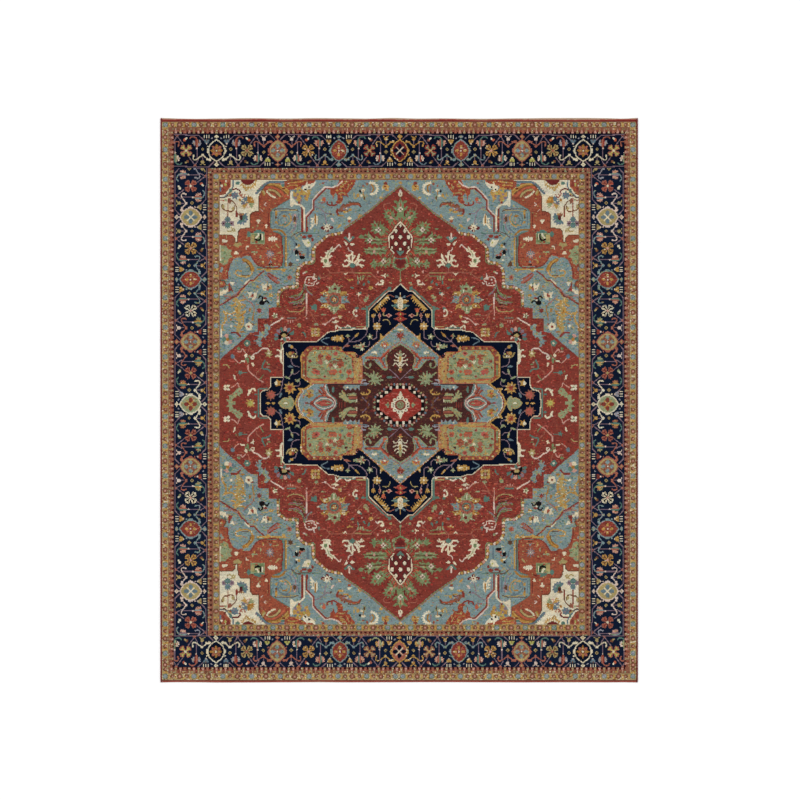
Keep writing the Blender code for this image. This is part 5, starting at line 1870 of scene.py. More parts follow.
def corner_scrolls(q):
    """The gold and teal edge of the terracotta corner, with the spiral beside it on light blue."""
    strokes(
        q, "teal", 0.9, ((-81.9, 120.6), (-82, 110)), ((-80.4, 107.4), (-76.4, 106.8), (-74.4, 104.8)),
        ((-74, 104.4), (-74, 84.7)), ((-74, 84.7), (-90.2, 84.7)),
        ((-81.6, 121.2), (-76.4, 124.8), (-70.4, 128)),
    )
    strokes(q, "ochre", 1.3, ((-81, 108.8), (-76.6, 108.8)), ((-76.4, 108.8), (-73.8, 107), (-72.3, 104.8)))
    strokes(q, "gold", 1.1, ((-72.2, 104.8), (-72.2, 86)), ((-90.4, 83.5), (-72.4, 83.6)))
    strokes(
        q, "brown", 0.5, ((-73.1, 104.6), (-73.1, 85.2)),
        ((-79.8, 121.2), (-77.4, 122), (-68.4, 121.8), (-64.4, 120.8)),
    )
    spots(
        q, "gold", (-83.6, 82.9, 1.5, 1), (-73.8, 83, 1.2, 1.2), (-78.5, 119.6, 0.8, 1.9),
        (-78.4, 113.6, 0.8, 1),
    )
    spots(q, "ochre", (-73.2, 117.6, 1.8, 0.6), (-78.5, 118.2, 0.6, 0.9), (-95.3, 57.7, 0.8, 1.3))
    spots(q, "brown", (-78.5, 116.6, 0.6, 0.9), (-66.6, 115.8, 0.9, 2), (-69.4, 87, 1.2, 1.5))
    strokes(
        q, "gold", 0.8, ((-77.4, 112.8), (-75.4, 111.5), (-73.6, 112)),
        ((-70.4, 119.2), (-69.2, 117.4), (-69.2, 114.8), (-70.6, 112.2), (-73.4, 110.6)),
    )
    spots(q, "pink", (-72.5, 113, 0.6, 1.2), (-66.4, 118.2, 0.5, 0.9), (-66.2, 113, 0.5, 0.8))
    strokes(
        q, "mauve", 0.6, ((-67.8, 118.4), (-68.2, 115.8), (-67.2, 113.4)),
        ((-65.6, 118.2), (-65, 115.8), (-65.8, 113.6)),
        ((-66.2, 112.6), (-66.2, 110.8), (-67.4, 108.6), (-70, 106.4)),
    )
    strokes(
        q, "slate", 0.8, ((-75.6, 120.4), (-70, 120.6)), ((-64, 119), (-63.8, 109)),
        ((-80.4, 118.8), (-80.4, 112)),
        ((-76.6, 112.2), (-77.4, 115.2), (-76.2, 118.4), (-73.2, 119.8), (-70.6, 119.4)),
        ((-79.6, 110.8), (-76, 110.2), (-72.2, 109.2)), ((-75.2, 113.6), (-75.6, 115.6), (-74.4, 116.6)),
        ((-68.6, 111.6), (-69.4, 109), (-72, 107)), ((-76, 105.6), (-70.4, 104)),
    )
    strokes(
        q, "khaki", 0.5, ((-77.6, 120.6), (-73, 121.2), (-66, 121)),
        ((-71.6, 117.4), (-70.6, 115), (-71.6, 113.4)), ((-68.8, 108), (-66.6, 104.6), (-63.4, 101.6)),
        ((-66, 103), (-60.8, 107.2)), ((-70.6, 101), (-69.8, 96)),
    )
    strokes(
        q, "teal", 0.6, ((-74, 112.4), (-71.6, 112.4), (-70.6, 114)),
        ((-65, 111.6), (-65.2, 108.4), (-67.6, 105.8)),
    )
    strokes(
        q, "brown", 0.5, ((-64.4, 107), (-61, 106.4), (-52, 106.6)),
        ((-69, 104), (-66, 106.4), (-63, 107.4)),
    )


def corner_branches(q):
    """The gold hook and the red-brown branch below the terracotta corner, and the leaves on them."""
    strokes(q, "ochre", 2.4, ((-99, 89.6), (-96.8, 88.4), (-94.6, 86), (-93.4, 83.4)))
    strokes(q, "gold", 0.8, ((-98.6, 89.8), (-96.2, 88), (-94, 84.4)))
    strokes(q, "gold", 1, (
        (-93.4, 83.2), (-94.4, 80.2), (-97, 78.8), (-100.6, 79), (-103.6, 80), (-104.4, 81.4),
        (-103.4, 82.8), (-101, 82.6),
    ))
    strokes(q, "brown", 0.5, ((-97.8, 88.2), (-95.6, 85.8), (-94.8, 82.6)), ((-96, 79.8), (-100, 79.9)))
    strokes(q, "brick", 1, (
        (-116, 59.8), (-111, 62.5), (-106.5, 65.5), (-103.2, 67), (-101, 70.5), (-98, 73.2), (-95.4, 76.4),
        (-92.4, 76.9), (-90, 79.6), (-86.4, 82.4),
    ))
    strokes(
        q, "salmon", 0.5, ((-110.6, 63.8), (-106.6, 66.6), (-103.4, 68.2), (-100.6, 71.8)),
        ((-112, 66.6), (-107.4, 66.2)), ((-99.6, 66.8), (-96.8, 63.8), (-94, 61.8), (-93.2, 60)),
    )
    strokes(
        q, "khaki", 0.6, ((-102.6, 66.4), (-100.8, 68.6), (-98.6, 71.4)),
        ((-95.6, 75.2), (-92.6, 76), (-90.4, 78.2)),
    )
    strokes(q, "cream", 0.9, ((-98.4, 74.4), (-97, 75.8), (-95.6, 76.8)))
    serrated(q.at(-84.2, 81, -129), 9.4, 4, 5, "salmon", "mauve")
    strokes(
        q, "brick", 0.6, ((-83.4, 81), (-79.6, 78.8), (-76, 77.2)),
        ((-83.6, 79), (-80.6, 76.4), (-77.6, 74.4)),
    )
    shapes(q, "brick", (
        (-108.6, 75.8), (-107.6, 73), (-105.8, 69.4), (-107.8, 69.8), (-109.8, 68.8), (-109, 72),
    ))
    star(q.at(-70, 78.4), 7, 2.1, 1.2, "salmon")
    spots(q, "brick", (-70, 78.4, 0.6, 0.6))
    shapes(q, "ivory", ((-108.2, 75.2), (-105, 75.6), (-106.4, 72.8)))
    serrated(q.at(-115, 67.6, -65), 6.4, 3.4, 3, "cream")
    q.oval("teal", -113.2, 74.2, 3, 3)
    q.oval("terracotta", -113.2, 74.2, 2.4, 2.4)
    q.oval("gold", -113.4, 74.6, 0.9, 0.8)
    q.line("brown", 0.5, ((-114.8, 76.6), (-111.6, 76.2), (-110.4, 73.8), (-111.4, 70.8)))


def blue_blossoms(q):
    """The small flowers and birdlike forms of the light blue ground."""
    shapes(
        q, "cream", ((-88.2, 74.8), (-86, 73.4), (-84.6, 75.2), (-84, 72), (-84.8, 69.8), (-86.8, 70.4)),
        ((-83.4, 74.6), (-81.4, 74), (-82.8, 72.2)),
        (
            (-97.4, 69.8), (-95.4, 68.6), (-94.4, 69.6), (-93.6, 67.6), (-94.6, 65.6), (-96.6, 65),
            (-95.6, 66.8),
        ),
        ((-93.2, 67.6), (-92.2, 69), (-91.6, 68.2), (-90.4, 70.2), (-90.8, 66.8), (-92, 64.6), (-93.8, 64)),
    )
    shapes(q, "gold", ((-82.6, 73.4), (-81, 73.2), (-81, 70.6), (-83.4, 70.8)))
    spots(q, "brown", (-83.6, 72.2, 0.8, 0.8), (-85.8, 71.2, 0.4, 0.4))
    spots(q, "salmon", (-93.8, 66.6, 1, 0.9), (-83.8, 71, 0.8, 1))
    spots(
        q, "brick", (-93.4, 67.2, 0.6, 1), (-85.4, 65, 1.2, 0.9), (-94, 48.4, 1.4, 0.6),
        (-63.2, 93.2, 0.9, 1.1),
    )
    star(q.at(-92.8, 73.8), 5, 1.9, 0.8, "sage")
    spots(
        q, "gold", (-90.4, 72.6, 0.8, 0.9), (-81.8, 66.8, 1.4, 1.1), (-64, 98.6, 0.9, 1),
        (-26.3, 130.6, 1, 1.4),
    )
    spots(
        q, "black", (-87.5, 62.2, 2, 1.5), (-65.5, 94.3, 1.3, 1.8), (-61.9, 91.2, 1.9, 1.1),
        (-65.8, 99.6, 0.7, 1.1), (-24.9, 133.5, 0.8, 0.9),
    )
    strokes(
        q, "salmon", 0.7, ((-67.8, 95.6), (-66.6, 96.4)), ((-64.2, 95.8), (-63.2, 94.6)),
        ((-63.4, 92.6), (-62, 92.9), (-60.4, 92.4)),
    )
    star(q.at(-69.3, 86.8), 6, 2.1, 1.1, "brown")
    star(q.at(-89.3, 57.2), 6, 2.1, 1, "brick")
    strokes(
        q, "black", 1, ((-89.7, 65.2), (-88.8, 66.4), (-87.4, 65.8), (-87.6, 63.6)),
        ((-86, 62.6), (-84.2, 63.4), (-83.2, 62.2)),
    )
    flower(q.at(-96, 47), 5, 2.6, ("cream",), "brick")
    spots(
        q, "ivory", (-86.1, 63.9, 0.6, 0.6), (-107.3, 47.3, 0.9, 0.9), (-65.4, 97.8, 1, 0.5),
        (-65.4, 92.6, 0.5, 0.6), (-64.6, 89.6, 0.9, 0.5), (-33.7, 122.3, 0.7, 0.6),
    )
    strokes(q, "ochre", 0.6, ((-92.4, 60.6), (-92.6, 56)), ((-93.2, 56), (-93.4, 51)))
    strokes(q, "khaki", 2.2, (
        (-104.6, 64.6), (-102.4, 62.4), (-102, 58.4), (-103.2, 54), (-101.6, 50), (-102.6, 46.4),
        (-102.8, 43.6),
    ))
    for x, y in spaced(((-103.4, 62.6), (-102, 58.4), (-103, 54), (-101.8, 50), (-102.6, 45)), 2.4):
        strokes(q, "gold", 0.7, ((x - 2.8, y + 0.9), (x, y), (x + 3, y + 1.1)))
    strokes(
        q, "gold", 1.2, ((-112, 56.6), (-110.4, 54), (-111, 50.4), (-112.8, 47.6), (-112.8, 45)),
        ((-111.8, 56.4), (-108.4, 55), (-105, 56.2), (-103.6, 59.4)),
        ((-98.2, 57), (-99.4, 55.2), (-101.2, 54.8)),
        ((-98.4, 60.6), (-100.4, 61), (-102.2, 63), (-98.6, 64.4)),
        ((-99.6, 53.4), (-99.6, 49), (-101, 46)), ((-107, 60.2), (-104.8, 61.2), (-104.2, 64.6)),
    )
    spots(
        q, "ochre", (-107.4, 51.5, 0.8, 0.8), (-108.6, 53.2, 0.6, 0.6), (-100, 43.6, 1.6, 0.6),
        (-103.4, 57.2, 0.7, 0.9),
    )
    q.line("ivory", 0.9, ((-113.4, 45), (-113.6, 40.4)))
    strokes(q, "brick", 1.3, ((-107, 43.2), (-103.6, 43), (-101.4, 40.8)))
    flower(q.at(-109.4, 38.8, 20), 5, 3.6, ("pink", "teal", "cream"), "ochre")
    spots(q, "slate", (-112, 42, 0.9, 0.8), (-106, 37.6, 0.8, 1.2), (-97, 51, 1, 1.8))
    shapes(q, "cream", (
        (-62.2, 102.6), (-59.6, 102.2), (-58, 103), (-56.4, 100), (-56.6, 98.4), (-58.4, 97.6),
        (-60.4, 99.2),
    ))
    spots(
        q, "brick", (-60.6, 104.2, 1.6, 0.9), (-57, 104.8, 1.6, 1.2), (-55.4, 102.6, 0.8, 1.2),
        (-62.6, 105.2, 0.7, 0.7),
    )
    spots(q, "lime", (-57.8, 100.6, 0.6, 0.8))
    q.line("slate", 1.4, ((-58.4, 91), (-58.4, 97)))
    strokes(
        q, "slate", 0.8, ((-69.6, 104), (-67, 101.4), (-66.6, 98)), ((-71, 90), (-68.6, 92.4), (-68, 96)),
    )


def tree_head(q):
    """The leaves and the pale two-eyed head at the far end of the tree's trunk."""
    shapes(q, "ember", (
        (-71.6, 135), (-71.6, 141.6), (-52.6, 141.6), (-54, 138.8), (-62, 136.8), (-63.2, 134.6),
        (-66, 134.8), (-69, 134.2),
    ))
    strokes(
        q, "gold", 0.7, ((-71, 138.6), (-66.4, 139), (-61.6, 139.8)),
        ((-71, 136.6), (-68.6, 137.4), (-65, 137)),
    )
    strokes(q, "umber", 0.5, ((-70.6, 139.6), (-65, 140.2)), ((-58, 140.6), (-54.6, 140.2)))
    shapes(q, "gold", (
        (-66.8, 135), (-63.4, 136.4), (-61, 133.4), (-57.4, 134.6), (-56.4, 132.4), (-58, 129.4),
        (-58.4, 126.8), (-60.4, 128.4), (-61, 131.6), (-62.4, 129), (-63, 126), (-66.4, 128.4),
        (-67.8, 131.4),
    ))
    spots(
        q, "mauve", (-66.2, 129.2, 1.1, 1), (-64.6, 131.4, 0.8, 0.7), (-62.6, 127.6, 0.6, 0.9),
        (-60, 130.2, 0.6, 0.9),
    )
    spots(q, "slate", (-66.2, 133.6, 0.9, 1), (-62.4, 130.4, 0.8, 0.7), (-63.4, 134, 0.7, 0.5))
    spots(q, "lime", (-64.4, 133.2, 0.8, 0.7), (-60.6, 132, 0.7, 0.7), (-65, 127.4, 0.7, 0.5))
    shapes(q, "ivory", (
        (-61.8, 136), (-59.8, 137.6), (-58.7, 139.6), (-58.2, 138), (-55.4, 138.4), (-53, 139.8),
        (-53.9, 137.4), (-56, 135.2), (-58.2, 134.8), (-59.5, 132.6), (-60.4, 133.8), (-61.4, 133.9),
    ))
    spots(q, "black", (-57.5, 136, 0.75, 0.6), (-59.9, 134.5, 0.75, 0.6))
    shapes(q, "ivory", (
        (-69.5, 132.4), (-68.7, 133.9), (-67.8, 132.8), (-68.1, 129.6), (-67.4, 128.4), (-65.6, 126.4),
        (-64, 124.9), (-64.4, 124.2), (-66.8, 124.8), (-68.6, 123.2), (-69.5, 123.9),
    ))
    q.line("gold", 0.9, ((-67.3, 133), (-67.2, 130.2)))


def tree(q):
    """The pale trunk and its branch, which ends in an acanthus leaf, and the flowers beside them."""
    strokes(
        q, "brick", 1.3, ((-64, 126.4), (-62.6, 124), (-61.9, 122.6)), ((-61.9, 122.6), (-61.8, 107.8)),
        ((-59, 118.2), (-58.9, 107.8)),
    )
    strokes(q, "teal", 0.6, ((-64.8, 105.2), (-61, 107), (-56, 106.4), (-51, 106.8)))
    strokes(q, "ivory", 1.2, ((-63.6, 125), (-61.6, 123.4), (-60.4, 121.8)), ((-60.4, 121.8), (-60.4, 109)))
    q.oval("blush", -60.6, 108.9, 0.7, 0.7)
    branch = np.array((
        (-59.6, 117.8), (-58, 119.4), (-55.2, 122.6), (-55.2, 128), (-52, 131.6), (-47.4, 136.1),
        (-42.6, 135.8), (-39, 137.2), (-36.4, 139.8),
    ))
    q.line("brick", 1.1, branch + (0.7, -0.7))
    shapes(q, "ember", (
        (-46.6, 135.2), (-43.8, 134.4), (-43.8, 131.8), (-42.6, 130.6), (-42, 128), (-41.4, 131),
        (-40.6, 132.4), (-39.4, 131), (-39.4, 127.8), (-40.6, 126.4), (-38.6, 125.4), (-36.6, 126.4),
        (-35.6, 128.6), (-36.2, 130.4), (-34.2, 130.8), (-32.2, 129.4), (-33.2, 132), (-31.2, 133.6),
        (-30, 135.6), (-28.4, 137.6), (-27.4, 141.4), (-37.6, 141.4), (-39.6, 137.2), (-43, 135.4),
    ))
    strokes(
        q, "brick", 1, ((-46, 126.6), (-45.2, 124.9), (-42, 124.3), (-40, 125), (-38.8, 126.6)),
        ((-43, 126.2), (-42.8, 124.8)),
    )
    spots(
        q, "gold", (-36.6, 136.6, 1.2, 0.6), (-34, 139.4, 1, 0.6), (-39.6, 134, 0.7, 0.5),
        (-30.2, 138.4, 0.6, 0.7),
    )
    strokes(
        q, "khaki", 0.6, ((-38.4, 131.8), (-36.6, 132.6), (-34.6, 132)), ((-33, 135), (-32, 137.6)),
        ((-37.6, 138.8), (-35.6, 137.6)), ((-38.2, 134.6), (-36.4, 134.4)),
    )
    strokes(q, "brick", 0.6, ((-38, 130.6), (-36, 131), (-34.4, 130.8)), ((-35.6, 134.4), (-33, 138)))
    q.line("blush", 0.8, branch)
    spots(q, "coral", (-48, 128.2, 1.3, 1.4))
    spots(q, "sage", (-49.8, 127.9, 0.9, 0.7))
    spots(q, "cream", (-49.6, 127.5, 0.4, 0.4))
    strokes(q, "salmon", 0.6, ((-51, 126.2), (-49.2, 125.9), (-47.4, 126.6)))
    strokes(
        q, "mauve", 0.6, ((-50.4, 126.4), (-48.6, 125.6)),
        ((-54, 123.6), (-51, 122.7), (-48.4, 120.7), (-46.4, 119.2), (-43.8, 119.3)),
        ((-47.6, 119), (-46.9, 115.4), (-46.2, 112.8)), ((-57.4, 118), (-57.2, 112)),
    )
    shapes(q, "cream", (
        (-53.6, 119.4), (-52.2, 117.2), (-51.8, 113.4), (-52.6, 111.4), (-53.6, 112.6), (-56.4, 108.8),
        (-57.3, 109.6), (-55.6, 111.8), (-57.2, 111.6), (-55.4, 113.4), (-57, 113.8), (-55.2, 115),
        (-56.6, 116.2), (-54.6, 116.6),
    ))
    q.line("ochre", 0.8, ((-53.6, 118.8), (-53.4, 113.2)))
    q.line("sky", 0.5, ((-54.4, 115.4), (-55, 112.6)))


def blue_ground_leaves(q):
    """The flowers between the tree and the point of the red field."""
    spots(q, "oxblood", (-48.4, 110, 1.7, 1.1), (-43.7, 110.2, 1.7, 1.1), (-45.9, 108.2, 1.1, 1))
    star(q.at(-46, 110.4), 8, 3.3, 1.2, "cream")
    q.oval("brick", -46, 110.1, 0.6, 0.5)
    q.at(-42.6, 115.2, 35).oval("blush", 0, 0, 0.7, 1.6)
    leaf(q.at(-39.2, 110.2, -45), 3.6, 1.5, "gold")
    spots(q, "brown", (-43.6, 118.8, 0.8, 0.6))
    strokes(q, "russet", 2.2, ((-38, 121.2), (-36, 122.8), (-33.4, 124), (-31, 124.9)))
    strokes(q, "terracotta", 1.3, ((-33.4, 124.6), (-29.6, 125.3), (-26.2, 125.1), (-24.8, 124)))
    strokes(q, "brick", 1.4, ((-39.4, 121.6), (-39.6, 120.2), (-39, 118.8)))
    strokes(q, "brown", 0.6, ((-32.4, 126.2), (-28.6, 126.4), (-25.4, 125.8), (-24.4, 123.4)))
    strokes(q, "brick", 0.6, ((-37.2, 123.6), (-34.8, 125.4)), ((-36, 121), (-33.4, 121.8)))
    spots(q, "mauve", (-35.4, 122.4, 0.7, 0.6), (-32.4, 123.2, 0.8, 0.4))
    spots(
        q, "gold", (-37.2, 117.8, 2.1, 0.7), (-34.2, 120.2, 1.9, 0.7), (-31.4, 121.6, 1.1, 1),
        (-11.6, 129.3, 1.2, 0.9), (0.8, 138.7, 1.1, 0.9),
    )
    spots(q, "umber", (-36.8, 120.6, 0.8, 0.5), (-33, 120.8, 0.5, 0.5))
    star(q.at(-25.2, 117.4), 5, 2.2, 0.9, "gold")
    spots(q, "brown", (-34.6, 124.6, 0.6, 0.5), (-31.2, 126.6, 0.6, 0.4), (-24.4, 123.6, 0.5, 0.6))
    spots(
        q, "cream", (-31.8, 116, 1.5, 0.6), (-31.8, 116.7, 0.8, 0.6), (-24.1, 130.6, 0.9, 0.9),
        (-22.9, 134, 1.5, 0.9),
    )
    spots(
        q, "terracotta", (-31.8, 114.4, 1.1, 0.9), (-22.9, 136.8, 0.8, 0.6), (-20.4, 138, 0.6, 1.1),
        (-48.6, 138.6, 1, 0.7),
    )
    q.line("ochre", 0.8, ((-23, 133.4), (-22.8, 130.8)))
    q.fill("sage", ((-23.6, 131.6), (-22.2, 126.6), (-20.8, 131.4), (-22.2, 130.4)))
    spots(q, "brown", (-22.3, 129.2, 0.5, 1.5))
    spots(q, "khaki", (-28.8, 131, 0.5, 1.3), (-27.8, 129, 1, 0.6))
    crescent = (
        (-18.4, 138.7), (-16.2, 138.3), (-14.6, 137), (-14, 135), (-14.8, 133), (-16.2, 131.9),
        (-17.8, 131.5),
    )
    for x, y in spaced(smooth(crescent), 1.3):
        q.line("ivory", 0.6, ((x, y), (x + 0.26 * (x + 18), y + 0.26 * (y - 135))))
    strokes(q, "ivory", 1.4, crescent)
    strokes(q, "ochre", 1, ((-17.8, 137.6), (-16.6, 136.4), (-16.4, 134.4), (-17.2, 133.2)))
    strokes(q, "mauve", 0.7, ((-18.6, 137), (-18.4, 133)))
    spots(q, "gold", (-8.6, 136.2, 2.4, 1.6), (-7.8, 134.2, 1.3, 0.7), (-10.4, 135, 0.9, 0.9))
    spots(q, "brick", (-8.6, 138.5, 1.3, 1), (-8.8, 136.6, 0.7, 0.5), (-8.4, 134.8, 0.6, 0.4))
    strokes(q, "gold", 0.5, ((-5, 132.8), (-9.6, 129.2)))


def corners(q):
    """Each corner of the field: an ivory and a terracotta ground on the light blue one."""
    corner_scrolls(q)
    corner_branches(q)
    terracotta_corner(q)
    q.fill("ivory", IVORY_CORNER)
    q.line("brown", 0.5, IVORY_CORNER[2:])
    ivory_corner(q)
    tree_head(q)
    tree(q)
    blue_blossoms(q)
    blue_ground_leaves(q)


def field(pen):
    """All inside the borders. Each shape is drawn in the far left quarter and mirrored to the others."""
    half_width, far, near = FIELD
    pen.chart.keep_within(-half_width, near, half_width, far)
    q = pen.fourfold(MIDDLE_X, MIDDLE_Y)
    corners(q)
    beaded_edge(q)
    q.fill("brick", quarter(RED_FIELD))
    great_palmette(q)
    star_flower(q)
    pale_antlers(q)
    ring_flower(q)
    upper_sprigs(q)
    side_leaves(q)
    side_sprigs(q)
    side_figures(q)
    medallion(q, pen.fourfold(MIDDLE_X, HEXAGON_Y))


def draw_chart(low, high):
    """The chart of the whole pile, which lies between these corners, in metres."""
    chart = Chart(KNOTS_ACROSS, KNOTS_ALONG, (100 * low[0], 100 * low[1]), (100 * high[0], 100 * high[1]))
    pen = Pen(chart)
    borders(pen)
    field(pen)
    return chart


def soft_noise(shape, cells):
    """Smooth random numbers from about -1 to 1, with patches of about this many rows and columns."""
    counts = [max(2, round(size / cell) + 3) for size, cell in zip(shape, cells)]
    coarse = RANDOM.uniform(-1, 1, counts)
    for axis, (size, count) in enumerate(zip(shape, counts)):
        place = np.linspace(0, count - 1.001, size)
        low = place.astype(int)
        share = place - low
        share = share * share * (3 - 2 * share)
        share = share.reshape((-1, 1) if axis == 0 else (1, -1))
        coarse = np.take(coarse, low, axis) * (1 - share) + np.take(coarse, low + 1, axis) * share
    return coarse


def linear(screen):
    """The linear colour of a screen colour from 0 to 255."""
    share = np.asarray(screen, float) / 255
    return np.where(share <= 0.04045, share / 12.92, ((share + 0.055) / 1.055) ** 2.4)


def mix_yarns(yarn):
    """Ties short runs of other yarns into the grounds."""
    for ground, others in MIXED_GROUNDS.items():
        here = yarn == NUMBER[ground]
        for dye, share in others:
            run = soft_noise(yarn.shape, RUN_KNOTS)
            yarn[here & (run > np.quantile(run, 1 - share))] = NUMBER[dye]


def dyed(yarn):
    """The linear colour of each knot: its yarn's dye, uneven from batch to batch and from knot to knot."""
    colours = linear(list(DYES.values()))[yarn]
    rows, columns = yarn.shape
    uneven = 1 + ROW_TONE * soft_noise((rows, 1 + len(DYES)), ROW_KNOTS)[:, 1:]
    tone = np.take_along_axis(uneven, yarn.astype(int), 1)
    tone *= 1 + PATCH_TONE * soft_noise(yarn.shape, PATCH_KNOTS)
    tone *= 1 + STREAK_TONE * soft_noise(yarn.shape, STREAK_KNOTS)
    tone *= 1 + KNOT_TONE * RANDOM.normal(0, 1, yarn.shape).clip(-2.2, 2.2)
    warmth = WARMTH_PATCH_TONE * soft_noise(yarn.shape, WARMTH_KNOTS)
    warmth += WARMTH_KNOT_TONE * RANDOM.normal(0, 1, yarn.shape)
    tint = np.stack((1 + warmth, np.ones_like(warmth), 1 - warmth), axis=-1)
    return (colours * tone[..., None] * tint / LIGHT_LEVEL).clip(*DYE_RANGE)


def grid_faces(place):
    """The faces between the vertices of a grid, from their numbers."""
    return np.stack(
        (place[:-1, :-1], place[:-1, 1:], place[1:, 1:], place[1:, :-1]), axis=-1,
    ).reshape(-1, 4)


def new_piece(name, vertices, faces, material):
    """A new mesh object in the scene."""
    mesh = bpy.data.meshes.new(name)
    mesh.from_pydata(np.asarray(vertices).tolist(), [], faces)
    mesh.materials.append(material)
    piece = bpy.data.objects.new(name, mesh)
    bpy.context.scene.collection.objects.link(piece)
    return piece


def paint(piece, domain, colours):
    """Sets the linear colour of each face or each point of a piece."""
    rgba = np.ones((len(colours), 4))
    rgba[:, :3] = colours
    piece.data.attributes.new("dye", "FLOAT_COLOR", domain).data.foreach_set("color", rgba.ravel())


def pile_strip(name, material, colours, heights, low, high, first, last):
    """One strip of the pile as a closed slab, with a face for each knot of rows first to last."""
    columns = colours.shape[1]
    rows = last - first
    pitch = ((high[0] - low[0]) / columns, (high[1] - low[1]) / colours.shape[0])
    x, y = np.meshgrid(
        low[0] + pitch[0] * np.arange(columns + 1), low[1] + pitch[1] * np.arange(first, last + 1),
    )
    top = np.stack((x, y, heights[first : last + 1]), axis=-1)
    place = np.arange(top.shape[0] * top.shape[1]).reshape(top.shape[:2])
    quads = grid_faces(place)
    corners = [(x[i, j], y[i, j], PILE_FOOT) for i, j in ((0, 0), (0, -1), (-1, -1), (-1, 0))]
    foot = [place.size + i for i in range(4)]
    rims = (place[0], place[:, -1], place[-1, ::-1], place[::-1, 0])
    walls = [[foot[i], foot[(i + 1) % 4], *rim[::-1].tolist()] for i, rim in enumerate(rims)]
    vertices = np.vstack((top.reshape(-1, 3), corners))
    rest = walls + [foot[::-1]]
    strip = new_piece(name, vertices, quads.tolist() + rest, material)
    walls_dye = np.tile(linear(DYES["oxblood"]) / LIGHT_LEVEL, (len(rest), 1))
    paint(strip, "FACE", np.vstack((colours[first:last].reshape(-1, 3), walls_dye)))
    fold_map(strip.data, vertices, quads, rest, columns, rows)
    return strip


def fold_map(mesh, vertices, quads, rest, columns, rows):
    """A flat map of a strip, its left half below its right half, with its walls in a narrow margin."""
    low, high = vertices.min(axis=0), vertices.max(axis=0)
    share = (vertices - low) / (high - low)
    right = np.tile(np.arange(columns) >= columns // 2, rows)[:, None]
    corner = share[quads]
    across = MAP_MARGIN + (1 - 2 * MAP_MARGIN) * (2 * corner[..., 0] - right)
    along = MAP_MARGIN + MAP_HALF * corner[..., 1] + MAP_SECOND_HALF * right
    flat = [np.stack((across, along), axis=-1).reshape(-1, 2)]
    for i, face in enumerate(rest):
        side = share[face]
        run = side[:, 0] if i in (0, 2, 4) else side[:, 1]
        rise = side[:, 1] if i == 4 else side[:, 2]
        flat.append(np.column_stack((run, MAP_WALLS + MAP_WALL_STEP * i + MAP_WALL_HEIGHT * rise)))
    mesh.uv_layers.new(name="OFBake").data.foreach_set("uv", np.vstack(flat).ravel())


def pile_heights(columns, rows):
    """The height of the pile at each corner of each knot, lower along its edges."""
    heights = PILE_HEIGHT - TIP_ROOM + PATCH_RISE * soft_noise((rows + 1, columns + 1), RISE_KNOTS)
    heights += RANDOM.uniform(-TIP_DROP, 0.0, heights.shape)
    for inward, share in enumerate(SHOULDER):
        level = CLOTH_THICKNESS + (PILE_HEIGHT - CLOTH_THICKNESS) * share
        for edge in (heights[inward], heights[-1 - inward], heights[:, inward], heights[:, -1 - inward]):
            np.minimum(edge, level - RANDOM.uniform(0, EDGE_DROP, edge.shape), out=edge)
    return heights


def pile(material, colours, low, high):
    """The whole pile in strips, which meet edge to edge."""
    heights = pile_heights(KNOTS_ACROSS, KNOTS_ALONG)
    edges = [round(KNOTS_ALONG * i / PILE_STRIPS) for i in range(PILE_STRIPS + 1)]
    return [
        pile_strip(f"pile_{i + 1}", material, colours, heights, low, high, first, last)
        for i, (first, last) in enumerate(zip(edges, edges[1:]))
    ]


def end_edge(across, pile_edge):
    """Where the solid's flatwoven end beyond this edge of the pile stops, at each place across."""
    solid = np.array([vertex.co for vertex in frame["nodes"]["knotted_cloth"].data.vertices])
    beyond = solid[(solid[:, 1] - pile_edge) * np.sign(pile_edge) > 0.001]
    beyond = beyond[np.argsort(beyond[:, 0])]
    return np.interp(across, beyond[:, 0], beyond[:, 1])


def woven_end(across, pile_edge, wefts_and_shade):
    """The top of one flatwoven end, from below the pile outwards: its points and their colours, in rows."""
    outwards = np.sign(pile_edge)
    start = pile_edge - outwards * TUCK
    share = np.linspace(0, 1, SKIRT_ROWS + 1)[:, None]
    y = start + (end_edge(across, pile_edge) - start) * share
    ribs = RIB_HEIGHT * (-1) ** np.arange(len(across))
    z = CLOTH_THICKNESS - WEFT_ROOM + ribs + RANDOM.uniform(-WEFT_BUMP, WEFT_BUMP, y.shape)
    z[-1] -= LAST_WEFT_DROP
    z[0] = CLOTH_THICKNESS - TUCK_DROP
    wide = soft_noise((1, len(across)), (1, 45))
    narrow = soft_noise((1, len(across)), (1, 3))
    wander = WEFT_WANDER * (wide + 0.2 * narrow)
    out = (y - pile_edge) * outwards + wander
    # The first band, oxblood next to the pile, is painted shadow where the pile steps down to the flatwoven
    # end
    starts = [out_from for out_from, _ in wefts_and_shade]
    yarn = np.searchsorted(starts, out) - 1
    colours = linear([DYES[dye] for _, dye in wefts_and_shade])[yarn] / LIGHT_LEVEL
    colours *= (1 + WEFT_TONE * RANDOM.normal(0, 1, y.shape).clip(-2, 2))[..., None]
    return np.stack((np.broadcast_to(across, y.shape), y, z), axis=-1), colours


